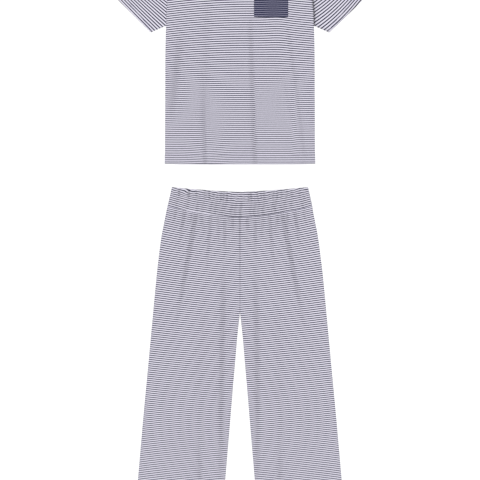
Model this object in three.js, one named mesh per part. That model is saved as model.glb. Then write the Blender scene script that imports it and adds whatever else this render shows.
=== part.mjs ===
// A pyjama set laid flat: a short-sleeved jersey tee above a pair of wide-leg jersey trousers.
// Sizes are millimetres. +X is to the right of the laid set, +Y points to the neck and +Z is up
// off the surface. The origin is the middle of the set, on the surface that it lies on.
// Each garment is two layers of cloth, the back lying on the surface and the front lying on the back.

import * as THREE from 'three';

// Cloth and sewing
const CLOTH = 1.2;
const SEAM_GAP = 0.3;
const HEM_TURN = 28;
const HEM_STEP = 3;
const COLLAPSE_SOFTNESS = 0.4;

// Air that stays between the two layers, and how far from an edge it takes to rise
const TEE_LOFT = 3.2;
const LEG_LOFT = 2.6;
const SLEEVE_LOFT = 2.8;
const LOFT_REACH = 20;
const ARMHOLE_AIR = 0.9;
const GATHER_LOFT = 1.4;
const GATHER_REACH = 75;

// Tee
const TEE_HEM_Y = 227.5;
const TEE_CORNER = { lift: 2, power: 6 };
const UNDERARM_Y = 644;
const UNDERARM_BLEND = { below: 20, above: 40 };
const SHOULDER_TIP = { x: 198, y: 838 };
const NECK_POINT = { x: 92, y: 880 };
const NECK_DROP_FRONT = 92;
const NECK_DROP_BACK = 20;
const NECKBAND_WIDTH = 20;
const NECKBAND = 2.4;
const NECKBAND_CROWN = 0.5;
const NECKBAND_SETTLE = { from: 0.1, to: 0.35 };
const NECK_RISE = 2;

// Sleeve, the one on the +X side: the top fold bends over the shoulder, the hem runs down and in
const SLEEVE_HEM_TOP = { x: 372.5, y: 728 };
const SLEEVE_HEM_FOOT = { x: 268, y: 623.5 };
const SLEEVE_TOP_BEND = { x: 300, y: 797 };
const SLEEVE_HEM_TURN = 25;

// Pocket on the wearer's left chest
const POCKET = { x: 93.3, y: 718, width: 102.6, height: 100, hem: 18 };
const POCKET_CORNER = { lift: 2.5, across: 10, up: 12 };

// Trousers
const LEG_HEM_Y = -882;
const CROTCH_Y = -215;
const CROTCH_BLEND = { below: 60, above: 30 };
const WAIST_SEAM = { centreY: 69, sideY: 102, half: 217, power: 1.6 };
const WAIST_TOP = { centreY: 144, sideY: 158.5, half: 204, power: 1.4 };
const CHANNEL_STITCH = 0.58;
const CHANNEL_BLEND = { below: 0.05, above: 0.1 };
const WAISTBAND = 3.2;
const WAISTBAND_EDGE = 2.2;
const BAND_ROUNDING = { ends: 0.02, edges: 0.1, channel: 0.08, stitched: 0.25 };
const PUCKERS = 28;
const PUCKER_WAVE = { first: 0.65, second: 0.35, ratio: 1.5, phase: 1.3, drift: 9 };
const PUCKER_HEIGHT = 1.1;
const LOWER_PUCKER_HEIGHT = 0.6;
const CENTRE_SEAM = { depth: 1.6, width: 6 };

// Half width of the tee at each height, side seam and then armhole
const TEE_SIDE = [
  { y: 227.5, half: 225.8 },
  { y: 270, half: 225 },
  { y: 414, half: 224.4 },
  { y: 560, half: 223.8 },
  { y: 644, half: 222 },
  { y: 680, half: 220.8 },
  { y: 720, half: 218.4 },
  { y: 765, half: 213 },
  { y: 805, half: 204 },
  { y: 838, half: 198 },
];

// Distance of the outer leg seam from the middle, for the wearer's right leg (-X) and left leg (+X)
const OUT_SEAM = [
  { y: -882, right: 320, left: 319.5 },
  { y: -708, right: 305.4, left: 304.2 },
  { y: -522, right: 289.2, left: 287.8 },
  { y: -378, right: 275.6, left: 274.2 },
  { y: -234, right: 262.2, left: 260.8 },
  { y: -138, right: 253.2, left: 251.9 },
  { y: -90, right: 248.4, left: 246.9 },
  { y: -42, right: 242.7, left: 240.9 },
  { y: 6, right: 236.4, left: 234.6 },
  { y: 54, right: 227.2, left: 225.6 },
  { y: 84, right: 221.3, left: 219.6 },
  { y: 104, right: 217, left: 216.6 },
];

// Distance of the inner leg seam from the middle
const IN_SEAM = [
  { y: -882, half: 58.5 },
  { y: -720, half: 44.5 },
  { y: -540, half: 29.4 },
  { y: -444, half: 21.5 },
  { y: -348, half: 13.2 },
  { y: -294, half: 8.6 },
  { y: -246, half: 3.6 },
  { y: -215, half: 0.15 },
];

// Troughs between the soft folds, each from its start to its end. bow is how far its middle swings to +X,
// fadeIn and fadeOut are the shares of its length over which it deepens and dies away.
const TEE_FOLDS = [
  { x0: -194, y0: 620, x1: -205, y1: 380, bow: 0, depth: 1.8, width: 13, fadeIn: 0.3, fadeOut: 0.4 },
  { x0: -106, y0: 780, x1: -101, y1: 200, bow: -5, depth: 2.4, width: 10, fadeIn: 0.5, fadeOut: 0 },
  { x0: 28, y0: 700, x1: 46, y1: 200, bow: -1, depth: 3.0, width: 9, fadeIn: 0.2, fadeOut: 0 },
  { x0: 149, y0: 640, x1: 190, y1: 270, bow: 5, depth: 1.8, width: 7, fadeIn: 0.2, fadeOut: 0.3 },
];
const RIGHT_LEG_FOLDS = [
  { x0: -205, y0: 110, x1: -204, y1: 20, bow: 0, depth: 1.6, width: 8, fadeIn: 0, fadeOut: 0.8 },
  { x0: -174, y0: 105, x1: -177, y1: -5, bow: 0, depth: 1.8, width: 8, fadeIn: 0, fadeOut: 0.8 },
  { x0: -141, y0: 95, x1: -190, y1: -230, bow: 3, depth: 4.0, width: 9, fadeIn: 0, fadeOut: 0.7 },
  { x0: -91, y0: 85, x1: -100, y1: -80, bow: 0, depth: 2.6, width: 9, fadeIn: 0, fadeOut: 0.8 },
  { x0: -45, y0: 80, x1: -46, y1: -50, bow: 0, depth: 2.0, width: 8, fadeIn: 0, fadeOut: 0.8 },
  { x0: -50, y0: -30, x1: -58, y1: -850, bow: -3, depth: 3.0, width: 11, fadeIn: 0.3, fadeOut: 0.4 },
  { x0: -131, y0: -280, x1: -117, y1: -882, bow: 3, depth: 2.2, width: 11, fadeIn: 0.6, fadeOut: 0 },
];
const LEFT_LEG_FOLDS = [
  { x0: 44, y0: 80, x1: 52, y1: -850, bow: 4, depth: 3.0, width: 10, fadeIn: 0, fadeOut: 0.4 },
  { x0: 89, y0: 85, x1: 103, y1: -80, bow: 0, depth: 2.4, width: 9, fadeIn: 0, fadeOut: 0.8 },
  { x0: 138, y0: 95, x1: 197, y1: -270, bow: -4, depth: 4.0, width: 9, fadeIn: 0, fadeOut: 0.7 },
  { x0: 184, y0: 105, x1: 193, y1: 10, bow: 0, depth: 1.8, width: 8, fadeIn: 0, fadeOut: 0.8 },
  { x0: 205, y0: 110, x1: 213, y1: 30, bow: 0, depth: 1.4, width: 7, fadeIn: 0, fadeOut: 0.8 },
  { x0: 134, y0: -480, x1: 108, y1: -882, bow: 0, depth: 2.2, width: 11, fadeIn: 0.5, fadeOut: 0 },
];

// Grid counts. Pieces that meet share the count along their seam, so that their edges run side by side.
const NECK_STEPS = 20;
const ARMHOLE_STEPS = 6;
const TEE_FRONT_GRID = { shoulder: 9, body: 9 };
const TEE_BACK_GRID = { shoulder: 3, body: 5 };
const SLEEVE_STEPS = 6;
const LEG_FRONT_GRID = { columns: 24, rows: 16 };
const LEG_BACK_GRID = { columns: 12, rows: 12 };
const POCKET_GRID = { columns: 10, rows: 7 };
const NECKBAND_STEPS = 2;
const BAND_BACK_GRID = { columns: 24, rows: 2 };
const POINTS_PER_PUCKER = 4;
const SEAM_PASSES = 4;

const NAVY_ON_WHITE = { color: 0xb6b3c0, roughness: 0.92, metalness: 0 };
const WHITE_ON_NAVY = { color: 0x5e5f74, roughness: 0.92, metalness: 0 };

const lerp = THREE.MathUtils.lerp;
const smooth = (from, to, at) => THREE.MathUtils.smoothstep(at, from, to);

/** Curve through the rows of a table, cubic between rows and never past them. */
function through(table, column, y) {
  const last = table.length - 1;
  const slope = (i) => (table[i + 1][column] - table[i][column]) / (table[i + 1].y - table[i].y);
  const tangent = (i) => {
    if (i === 0) return slope(0);
    if (i === last) return slope(last - 1);
    const product = slope(i - 1) * slope(i);
    return product <= 0 ? 0 : (2 * product) / (slope(i - 1) + slope(i));
  };
  const clamped = THREE.MathUtils.clamp(y, table[0].y, table[last].y);
  let i = 0;
  while (i < last - 1 && clamped > table[i + 1].y) i += 1;
  const step = table[i + 1].y - table[i].y;
  const t = (clamped - table[i].y) / step;
  const values = lerp(table[i][column], table[i + 1][column], 3 * t ** 2 - 2 * t ** 3);
  const leaving = (t ** 3 - 2 * t ** 2 + t) * step * tangent(i);
  const arriving = (t ** 3 - t ** 2) * step * tangent(i + 1);
  return values + leaving + arriving;
}

/** Even steps from 0 to 1. */
const steps = (count) => Array.from({ length: count + 1 }, (_, i) => i / count);

/** How deep the troughs of a table are at a point. */
function troughs(folds, x, y) {
  let depth = 0;
  for (const fold of folds) {
    const t = (y - fold.y0) / (fold.y1 - fold.y0);
    if (t < 0 || t > 1) continue;
    const middle = lerp(fold.x0, fold.x1, t) + fold.bow * 4 * t * (1 - t);
    const start = fold.fadeIn > 0 ? smooth(0, fold.fadeIn, t) : 1;
    const end = fold.fadeOut > 0 ? smooth(0, fold.fadeOut, 1 - t) : 1;
    depth += fold.depth * start * end * Math.exp(-(((x - middle) / fold.width) ** 2));
  }
  return depth;
}

/** Air under the front layer: never below zero, and soft where it closes. */
const airGap = (height) => (height > 0 ? height ** 2 / (height + COLLAPSE_SOFTNESS) : 0);

/** Share of the loft that is reached at a distance from an edge. */
const risen = (distance) => 1 - Math.exp(-Math.max(distance, 0) / LOFT_REACH);

/** Layers of cloth at a height above a hem's foot: two in the turn, one above it. */
const hemLayers = (above) => 2 - smooth(HEM_TURN - HEM_STEP, HEM_TURN, above);

/**
 * Rows of a hemmed panel: the foot and head of the hem's turn, measured up from the foot, then the
 * given shares of the way from there to the panel's top.
 */
const hemmedRows = (shares) => [
  { lift: 0, share: 0 },
  { lift: HEM_TURN - HEM_STEP, share: 0 },
  ...shares.map((share) => ({ lift: HEM_TURN, share })),
];

/** Height of a row in a column that runs from foot to head. */
const rowHeight = ({ lift, share }, foot, head) => foot + lift + share * (head - foot - HEM_TURN);

/** Mesh of one closed body with its faces pointing out, from its points and triangles. */
function closedMesh(name, points, triangles, finish) {
  const corner = triangles.map(([a, b, c]) => [points[a], points[b], points[c]]);
  const volume = corner.reduce((sum, [a, b, c]) => sum + a.dot(new THREE.Vector3().crossVectors(b, c)), 0);
  const facingOut = volume > 0 ? triangles : triangles.map(([a, b, c]) => [a, c, b]);
  const geometry = new THREE.BufferGeometry();
  geometry.setAttribute('position', new THREE.Float32BufferAttribute(points.flatMap((p) => p.toArray()), 3));
  geometry.setIndex(facingOut.flat());
  geometry.computeVertexNormals();
  const mesh = new THREE.Mesh(geometry, new THREE.MeshStandardMaterial(finish));
  mesh.name = name;
  return mesh;
}

/**
 * A layer of cloth over a grid of columns and rows. place(s, t) gives x and y where a column s meets a
 * row t, and top and under give the height of the layer's two faces there, from x, y, s and t.
 */
function layer(name, across, up, place, top, under, finish) {
  const points = [];
  const width = across.length;
  for (const t of up) {
    for (const s of across) {
      const { x, y } = place(s, t);
      points.push(new THREE.Vector3(x, y, top(x, y, s, t)), new THREE.Vector3(x, y, under(x, y, s, t)));
    }
  }
  const above = (i, j) => 2 * (j * width + i);
  const below = (i, j) => above(i, j) + 1;
  const triangles = [];
  const quad = (a, b, c, d) => triangles.push([a, b, c], [a, c, d]);
  const lastColumn = width - 1;
  const lastRow = up.length - 1;
  for (let j = 0; j < lastRow; j += 1) {
    for (let i = 0; i < lastColumn; i += 1) {
      quad(above(i, j), above(i + 1, j), above(i + 1, j + 1), above(i, j + 1));
      quad(below(i, j), below(i, j + 1), below(i + 1, j + 1), below(i + 1, j));
    }
    quad(above(0, j), above(0, j + 1), below(0, j + 1), below(0, j));
    quad(above(lastColumn, j + 1), above(lastColumn, j), below(lastColumn, j), below(lastColumn, j + 1));
  }
  for (let i = 0; i < lastColumn; i += 1) {
    quad(above(i + 1, 0), above(i, 0), below(i, 0), below(i + 1, 0));
    quad(above(i, lastRow), above(i + 1, lastRow), below(i + 1, lastRow), below(i, lastRow));
  }
  return closedMesh(name, points, triangles, finish);
}

/** A tube of cloth lying flat. Each ring has an outer and an inner loop of the same number of points. */
function flatTube(name, rings, finish) {
  const count = rings[0].outer.length;
  const points = rings.flatMap(({ outer, inner }) => [...outer, ...inner]);
  const outer = (k, i) => k * 2 * count + (i % count);
  const inner = (k, i) => outer(k, i) + count;
  const triangles = [];
  const quad = (a, b, c, d) => triangles.push([a, b, c], [a, c, d]);
  const last = rings.length - 1;
  for (let i = 0; i < count; i += 1) {
    for (let k = 0; k < last; k += 1) {
      quad(outer(k, i), outer(k, i + 1), outer(k + 1, i + 1), outer(k + 1, i));
      quad(inner(k, i), inner(k + 1, i), inner(k + 1, i + 1), inner(k, i + 1));
    }
    quad(outer(0, i + 1), outer(0, i), inner(0, i), inner(0, i + 1));
    quad(outer(last, i), outer(last, i + 1), inner(last, i + 1), inner(last, i));
  }
  return closedMesh(name, points, triangles, finish);
}

// Tee

const teeHalf = (y) => through(TEE_SIDE, 'half', y);
const teeHem = (x) => TEE_HEM_Y + TEE_CORNER.lift * (Math.abs(x) / TEE_SIDE[0].half) ** TEE_CORNER.power;
const shoulderShare = (SHOULDER_TIP.x - NECK_POINT.x) / (2 * SHOULDER_TIP.x);

/** Columns across the tee: even along each shoulder, and round the neck by its angle. */
function teeColumns(shoulder) {
  const left = steps(shoulder).map((t) => t * shoulderShare);
  const round = steps(NECK_STEPS).map((t) => 0.5 - (0.5 - shoulderShare) * Math.cos(Math.PI * t));
  const right = left.map((s) => 1 - s).reverse();
  return [...left, ...round.slice(1, -1), ...right];
}

/** Rows up the tee: even to the underarm, then the armhole's own. */
function teeRows(body) {
  const head = TEE_HEM_Y + TEE_CORNER.lift + HEM_TURN;
  const underarm = (UNDERARM_Y - head) / (SHOULDER_TIP.y - head);
  const below = steps(body).map((t) => t * underarm);
  const beside = steps(ARMHOLE_STEPS).map((t) => lerp(underarm, 1, t));
  return hemmedRows([...below, ...beside.slice(1)]);
}

/** Height of the shoulder line, or of the neckline that drops from it, at a place across the tee. */
function teeTop(s, neckline) {
  const x = Math.abs(2 * s - 1) * SHOULDER_TIP.x;
  if (x >= NECK_POINT.x) {
    const t = (x - NECK_POINT.x) / (SHOULDER_TIP.x - NECK_POINT.x);
    return lerp(NECK_POINT.y, SHOULDER_TIP.y, t);
  }
  return NECK_POINT.y - neckline(x / NECK_POINT.x);
}

const frontNeckline = (share) => NECK_DROP_FRONT * Math.sqrt(Math.max(0, 1 - share ** 2));
const backNeckline = (share) => NECK_DROP_BACK * Math.max(0, 1 - share ** 3) ** (1 / 3);

/** Places the points of a tee panel whose top edge has the given neckline. */
const teePlace = (neckline) => (s, row) => {
  const y = rowHeight(row, teeHem((2 * s - 1) * TEE_SIDE[0].half), teeTop(s, neckline));
  return { x: (2 * s - 1) * teeHalf(y), y };
};

const teeLayers = (x, y) => hemLayers(y - teeHem(x));

/** Air under the tee's front: it closes at the side seams, shoulders and neckline, not at the armholes. */
function teeAir(x, y) {
  const beside = smooth(UNDERARM_Y - UNDERARM_BLEND.below, UNDERARM_Y + UNDERARM_BLEND.above, y);
  const nearSide = lerp(risen(teeHalf(y) - Math.abs(x)), ARMHOLE_AIR, beside);
  const nearTop = risen(teeTop(0.5 + x / (2 * teeHalf(y)), frontNeckline) - y);
  return airGap(TEE_LOFT * nearSide * nearTop - troughs(TEE_FOLDS, x, y) * nearSide);
}

const teeFrontUnder = (x, y) => teeLayers(x, y) * CLOTH + SEAM_GAP + teeAir(x, y);
const teeFrontTop = (x, y) => teeFrontUnder(x, y) + teeLayers(x, y) * CLOTH;

function teeFront() {
  const { shoulder, body } = TEE_FRONT_GRID;
  return layer('tee_front', teeColumns(shoulder), teeRows(body), teePlace(frontNeckline), teeFrontTop,
    teeFrontUnder, NAVY_ON_WHITE);
}

function teeBack() {
  const { shoulder, body } = TEE_BACK_GRID;
  const top = (x, y) => teeLayers(x, y) * CLOTH;
  return layer('tee_back', teeColumns(shoulder), teeRows(body), teePlace(backNeckline), top, () => 0,
    NAVY_ON_WHITE);
}

/** The patch pocket, whose underside is the tee front's own surface moved out by the seam gap. */
function pocket() {
  const turn = (POCKET.height - POCKET.hem) / POCKET.height;
  const edge = HEM_STEP / POCKET.height;
  const rows = [...steps(POCKET_GRID.rows).map((t) => t * (turn - edge)), turn, 1];
  const place = (s, t) => {
    const corner = Math.abs(2 * s - 1) ** POCKET_CORNER.across * (1 - t) ** POCKET_CORNER.up;
    return {
      x: POCKET.x + (s - 0.5) * POCKET.width,
      y: POCKET.y + (t - 0.5) * POCKET.height + POCKET_CORNER.lift * corner,
    };
  };
  const under = (x, y) => teeFrontTop(x, y) + SEAM_GAP;
  const top = (x, y, s, t) => under(x, y) + CLOTH * (1 + smooth(turn - edge, turn, t));
  return layer('pocket', steps(POCKET_GRID.columns), rows, place, top, under, WHITE_ON_NAVY);
}

/**
 * The front half of the neckband, a ring section that follows the front neckline. At the shoulders it lies
 * over the back half, and from there it settles onto the tee's back.
 */
function neckbandFront() {
  const seam = { x: NECK_POINT.x - SEAM_GAP, drop: NECK_DROP_FRONT - SEAM_GAP };
  const place = (s, t) => {
    const angle = Math.PI * s;
    const inset = t * NECKBAND_WIDTH;
    return {
      x: -(seam.x - inset) * Math.cos(angle),
      y: NECK_POINT.y - (seam.drop - inset) * Math.sin(angle),
    };
  };
  const { from, to } = NECKBAND_SETTLE;
  const under = (x, y, s) => lerp(NECKBAND, CLOTH, smooth(from, to, Math.min(s, 1 - s))) + SEAM_GAP;
  const top = (x, y, s, t) => under(x, y, s) + NECKBAND + NECKBAND_CROWN * 4 * t * (1 - t);
  return layer('neckband_front', steps(NECK_STEPS), steps(NECKBAND_STEPS), place, top, under, NAVY_ON_WHITE);
}

/** The back half of the neckband, lying inside the neck above the back neckline. */
function neckbandBack() {
  const place = (s, t) => {
    const share = -Math.cos(Math.PI * s);
    const seamX = (NECK_POINT.x - SEAM_GAP) * share;
    const seamY = NECK_POINT.y + SEAM_GAP - backNeckline(Math.abs(share));
    const topX = (NECK_POINT.x - NECKBAND_WIDTH) * share;
    const topY = NECK_POINT.y + NECK_RISE;
    return { x: lerp(seamX, topX, t), y: lerp(seamY, topY, t) };
  };
  return layer('neckband_back', steps(NECK_STEPS), steps(NECKBAND_STEPS), place, () => NECKBAND, () => 0,
    NAVY_ON_WHITE);
}

/** A point of the sleeve on the +X side: u runs from armhole to hem, w from the top fold to the underarm. */
function sleevePlace(u, w) {
  const armholeY = (share) => lerp(SHOULDER_TIP.y, UNDERARM_Y, share);
  const armhole = (share) => new THREE.Vector2(teeHalf(armholeY(share)) + SEAM_GAP, armholeY(share));
  const hemTop = new THREE.Vector2(SLEEVE_HEM_TOP.x, SLEEVE_HEM_TOP.y);
  const hemFoot = new THREE.Vector2(SLEEVE_HEM_FOOT.x, SLEEVE_HEM_FOOT.y);
  const bend = new THREE.Vector2(SLEEVE_TOP_BEND.x, SLEEVE_TOP_BEND.y);
  const shoulder = armhole(0);
  const underarm = armhole(1);
  const topFold = new THREE.QuadraticBezierCurve(shoulder, bend, hemTop).getPoint(u);
  const seam = underarm.clone().lerp(hemFoot, u);
  const ruledOne = armhole(w).lerp(hemTop.clone().lerp(hemFoot, w), u);
  const ruledTwo = topFold.lerp(seam, w);
  const corners = shoulder.clone().lerp(hemTop, u).lerp(underarm.clone().lerp(hemFoot, u), w);
  return ruledOne.add(ruledTwo).sub(corners);
}

/** A sleeve: one piece folded along its top, its two layers joined at the underarm. */
function sleeve(name, side) {
  const length = Math.hypot(SLEEVE_HEM_TOP.x - SHOULDER_TIP.x, SLEEVE_HEM_TOP.y - SHOULDER_TIP.y);
  const turn = 1 - SLEEVE_HEM_TURN / length;
  const step = HEM_STEP / length;
  const along = [...steps(SLEEVE_STEPS).map((t) => t * turn), turn + step, 1];
  const across = steps(ARMHOLE_STEPS);
  const rings = along.map((u) => {
    const wall = CLOTH * (1 + smooth(turn, turn + step, u));
    const span = sleevePlace(u, 0).distanceTo(sleevePlace(u, 1));
    const loft = (w) => SLEEVE_LOFT * risen(Math.min(w, 1 - w) * span);
    const at = (w, z) => {
      const { x, y } = sleevePlace(u, w);
      return new THREE.Vector3(side * x, y, z);
    };
    const inset = (w) => lerp(wall / span, 1 - wall / span, w);
    const upper = (w) => 2 * wall + SEAM_GAP + loft(w);
    return {
      outer: [...across.map((w) => at(w, upper(w))), ...across.map((w) => at(1 - w, 0))],
      inner: [
        ...across.map((w) => at(inset(w), upper(inset(w)) - wall)),
        ...across.map((w) => at(1 - inset(w), wall)),
      ],
    };
  });
  return flatTube(name, rings, NAVY_ON_WHITE);
}

// Trousers

/** Height of an edge of the waistband, which is lowest at the middle. */
const bandEdge = ({ centreY, sideY, half, power }, x) => lerp(centreY, sideY, (Math.abs(x) / half) ** power);

/** Distance from the middle to the column s of a leg, 0 at the outer seam and 1 at the inner one. */
const legAcross = (leg, s, y) => lerp(through(OUT_SEAM, leg, y), through(IN_SEAM, 'half', y), s);

/** Height of the waist seam where the column s of a leg meets it. */
function legTop(leg, s) {
  let y = WAIST_SEAM.centreY;
  for (let pass = 0; pass < SEAM_PASSES; pass += 1) {
    y = bandEdge(WAIST_SEAM, legAcross(leg, s, y)) - SEAM_GAP;
  }
  return y;
}

/** Places the points of a leg panel on one side. */
const legPlace = (leg, side) => (s, row) => {
  const y = rowHeight(row, LEG_HEM_Y, legTop(leg, s));
  return { x: side * legAcross(leg, s, y), y };
};

const legLayers = (y) => hemLayers(y - LEG_HEM_Y);

/** Air under a trouser front: it closes at the leg's two seams, and rises to the gathers at the band. */
function legAir(leg, folds, x, y) {
  const aboveCrotch = smooth(CROTCH_Y - CROTCH_BLEND.below, CROTCH_Y + CROTCH_BLEND.above, y);
  const nearOut = risen(through(OUT_SEAM, leg, y) - Math.abs(x));
  const nearIn = lerp(risen(Math.abs(x) - through(IN_SEAM, 'half', y)), 1, aboveCrotch);
  const gathered = GATHER_LOFT * Math.exp(-Math.max(0, bandEdge(WAIST_SEAM, x) - y) / GATHER_REACH);
  const seam = CENTRE_SEAM.depth * Math.exp(-((x / CENTRE_SEAM.width) ** 2)) * aboveCrotch;
  return airGap((LEG_LOFT + gathered - troughs(folds, x, y) - seam) * nearOut * nearIn);
}

function legFront(name, leg, folds, side) {
  const { columns, rows } = LEG_FRONT_GRID;
  const under = (x, y) => legLayers(y) * CLOTH + SEAM_GAP + legAir(leg, folds, x, y);
  const top = (x, y) => under(x, y) + legLayers(y) * CLOTH;
  return layer(name, steps(columns), hemmedRows(steps(rows)), legPlace(leg, side), top, under,
    NAVY_ON_WHITE);
}

function legBack(name, leg, side) {
  const { columns, rows } = LEG_BACK_GRID;
  const top = (x, y) => legLayers(y) * CLOTH;
  return layer(name, steps(columns), hemmedRows(steps(rows)), legPlace(leg, side), top, () => 0,
    NAVY_ON_WHITE);
}

/** A point of the waistband: s runs across, t from the waist seam to the top fold. */
function bandPlace(s, t) {
  const across = 2 * s - 1;
  const foot = bandEdge(WAIST_SEAM, across * WAIST_SEAM.half);
  const head = bandEdge(WAIST_TOP, across * WAIST_TOP.half);
  return { x: across * lerp(WAIST_SEAM.half, WAIST_TOP.half, t), y: lerp(foot, head, t) };
}

/** Puckers that the elastic draws up: uneven waves, stronger in the elastic's channel. */
function puckers(s, t) {
  const turns = 2 * Math.PI * PUCKERS * s;
  const { first, second, ratio, phase, drift } = PUCKER_WAVE;
  const wave = first * Math.cos(turns + Math.sin(turns / drift)) + second * Math.cos(ratio * turns + phase);
  const inChannel = smooth(CHANNEL_STITCH - CHANNEL_BLEND.below, CHANNEL_STITCH + CHANNEL_BLEND.above, t);
  return lerp(LOWER_PUCKER_HEIGHT, PUCKER_HEIGHT, inChannel) * wave;
}

/** Share of its full swell that the band has: least along its edges, its ends and the channel's stitches. */
function bandSwell(s, t) {
  const fromEnds = Math.min(s, 1 - s) / BAND_ROUNDING.ends;
  const fromEdges = Math.min(t, 1 - t) / BAND_ROUNDING.edges;
  const fromStitch = BAND_ROUNDING.stitched + Math.abs(t - CHANNEL_STITCH) / BAND_ROUNDING.channel;
  return Math.min(1, fromEnds, fromEdges, fromStitch);
}

function waistbandFront() {
  const { edges, channel } = BAND_ROUNDING;
  const stitched = [CHANNEL_STITCH - channel, CHANNEL_STITCH, CHANNEL_STITCH + channel];
  const rows = [0, edges, ...stitched, 1 - edges, 1];
  const under = () => WAISTBAND + SEAM_GAP;
  const thickness = (s, t) => lerp(WAISTBAND_EDGE, WAISTBAND + puckers(s, t), bandSwell(s, t));
  const top = (x, y, s, t) => under() + thickness(s, t);
  return layer('waistband_front', steps(PUCKERS * POINTS_PER_PUCKER), rows, bandPlace, top, under,
    NAVY_ON_WHITE);
}

function waistbandBack() {
  const { columns, rows } = BAND_BACK_GRID;
  return layer('waistband_back', steps(columns), steps(rows), bandPlace, () => WAISTBAND, () => 0,
    NAVY_ON_WHITE);
}

const pyjamaSet = new THREE.Group();
pyjamaSet.add(
  teeBack(),
  teeFront(),
  sleeve('sleeve_right', -1),
  sleeve('sleeve_left', 1),
  neckbandBack(),
  neckbandFront(),
  pocket(),
  legBack('leg_back_right', 'right', -1),
  legBack('leg_back_left', 'left', 1),
  legFront('leg_front_right', 'right', RIGHT_LEG_FOLDS, -1),
  legFront('leg_front_left', 'left', LEFT_LEG_FOLDS, 1),
  waistbandBack(),
  waistbandFront(),
);

export default pyjamaSet;
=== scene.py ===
"""Pyjama set laid flat and seen from straight above: a striped tee over striped wide-leg trousers.

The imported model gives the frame. Every piece of cloth here stands for the solid of the same name and
follows the same pattern sizes, which are in millimetres. Each is a thin shell with soft folds, sewn
hems and a grain map, and the stripes are a knitted pattern that follows that grain.
"""
from __future__ import annotations

import logging
from dataclasses import dataclass, field
from enum import Enum
from typing import Callable, Mapping, Sequence

import bpy
import numpy as np
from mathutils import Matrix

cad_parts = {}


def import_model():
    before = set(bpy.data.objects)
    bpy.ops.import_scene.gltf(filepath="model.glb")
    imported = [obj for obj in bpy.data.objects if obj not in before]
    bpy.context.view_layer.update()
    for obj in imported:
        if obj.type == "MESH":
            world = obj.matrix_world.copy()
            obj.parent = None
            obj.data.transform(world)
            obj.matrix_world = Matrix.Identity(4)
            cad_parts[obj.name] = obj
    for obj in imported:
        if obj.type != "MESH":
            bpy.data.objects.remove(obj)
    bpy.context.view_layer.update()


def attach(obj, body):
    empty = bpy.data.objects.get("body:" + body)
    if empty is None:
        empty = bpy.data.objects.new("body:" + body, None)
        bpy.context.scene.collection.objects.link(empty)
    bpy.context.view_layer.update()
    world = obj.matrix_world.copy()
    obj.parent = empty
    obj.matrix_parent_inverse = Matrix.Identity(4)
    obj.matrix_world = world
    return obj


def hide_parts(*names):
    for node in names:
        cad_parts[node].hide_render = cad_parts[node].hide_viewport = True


LOG = logging.getLogger("pyjama_set")
BODY = "root"
MM = 0.001
GRAIN_MAP = "grain"
GRAIN_PITCH = 0.006
# Mesh attribute of painted shading: it darkens the cloth's base colour in creases, seams and turned
# edges, and lightens it where it is below zero.
PAINTED_SHADING_ATTRIBUTE = "painted_shading"
FINEST_CELL = 0.1

Array = np.ndarray
Colour = tuple[float, float, float]
Wave = tuple[float, float, float]


class Side(Enum):
    """The wearer's side that a piece is on. Its value is the sign of X there."""

    RIGHT = -1
    LEFT = 1

    @property
    def word(self) -> str:
        """Name of the side as node names spell it."""
        return self.name.lower()


class Slot(Enum):
    """The record's material slots."""

    STRIPED = "striped_jersey"
    POCKET = "pocket_jersey"


# Shapes


def lerp(start: Array | float, end: Array | float, share: Array | float) -> Array:
    """Value the given share of the way from start to end."""
    return start + (end - start) * share


def smooth(start: float, end: float, at: Array) -> Array:
    """Share from 0 at start to 1 at end, level at both."""
    share = np.clip((at - start) / (end - start), 0.0, 1.0)
    return share * share * (3.0 - 2.0 * share)


def bell(distance: Array, width: float) -> Array:
    """Bell curve, 1 in the middle and a third at one width from it."""
    return np.exp(-((distance / width) ** 2))


def rounded(distance: Array, radius: float) -> Array:
    """Quarter circle: 0 at an edge, and 1 from one radius inside it."""
    inward = np.clip(distance / radius, 0.0, 1.0)
    return np.sqrt(1.0 - (1.0 - inward) ** 2)


def ripple(x: Array, y: Array, length: float, turn: float = 0.0) -> Array:
    """Uneven waves about a length apart, from -1 to 1: three sines in unlike directions."""
    a, b = 2 * np.pi * x / length, 2 * np.pi * y / length
    first = np.sin(0.83 * a + 0.41 * b + turn)
    second = np.sin(-0.52 * a + 0.77 * b + 2.1 + turn)
    third = np.sin(1.37 * a - 0.29 * b + 4.3 + 0.5 * turn)
    return (first + second + 0.6 * third) / 2.6


def ripples(waves: Sequence[Wave], x: Array, y: Array) -> Array:
    """Several ripples together, each given by its height, its length and its turn."""
    return sum(height * ripple(x, y, length, turn) for height, length, turn in waves)


def stations(length: float, step: float, marks: Sequence[float] = ()) -> Array:
    """Places along a length, closer beside its ends and beside each mark.

    Args:
        length: Length to divide.
        step: Usual distance between places.
        marks: Places that get finer steps on both sides, such as rows of stitching.

    Returns:
        Rising distances from 0 to length.
    """
    beside = np.array([0.0, 0.12, 0.4, 0.8, 1.4, 2.4])
    even = np.linspace(0.0, length, int(round(length / step)) + 1)
    close = [mark + sign * beside for mark in (0.0, length, *marks) for sign in (-1.0, 1.0)]
    places = np.unique(np.clip(np.concatenate([even, *close]), 0.0, length))
    kept = places[np.concatenate([[True], np.diff(places) > FINEST_CELL])]
    kept[-1] = length
    return kept


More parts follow.
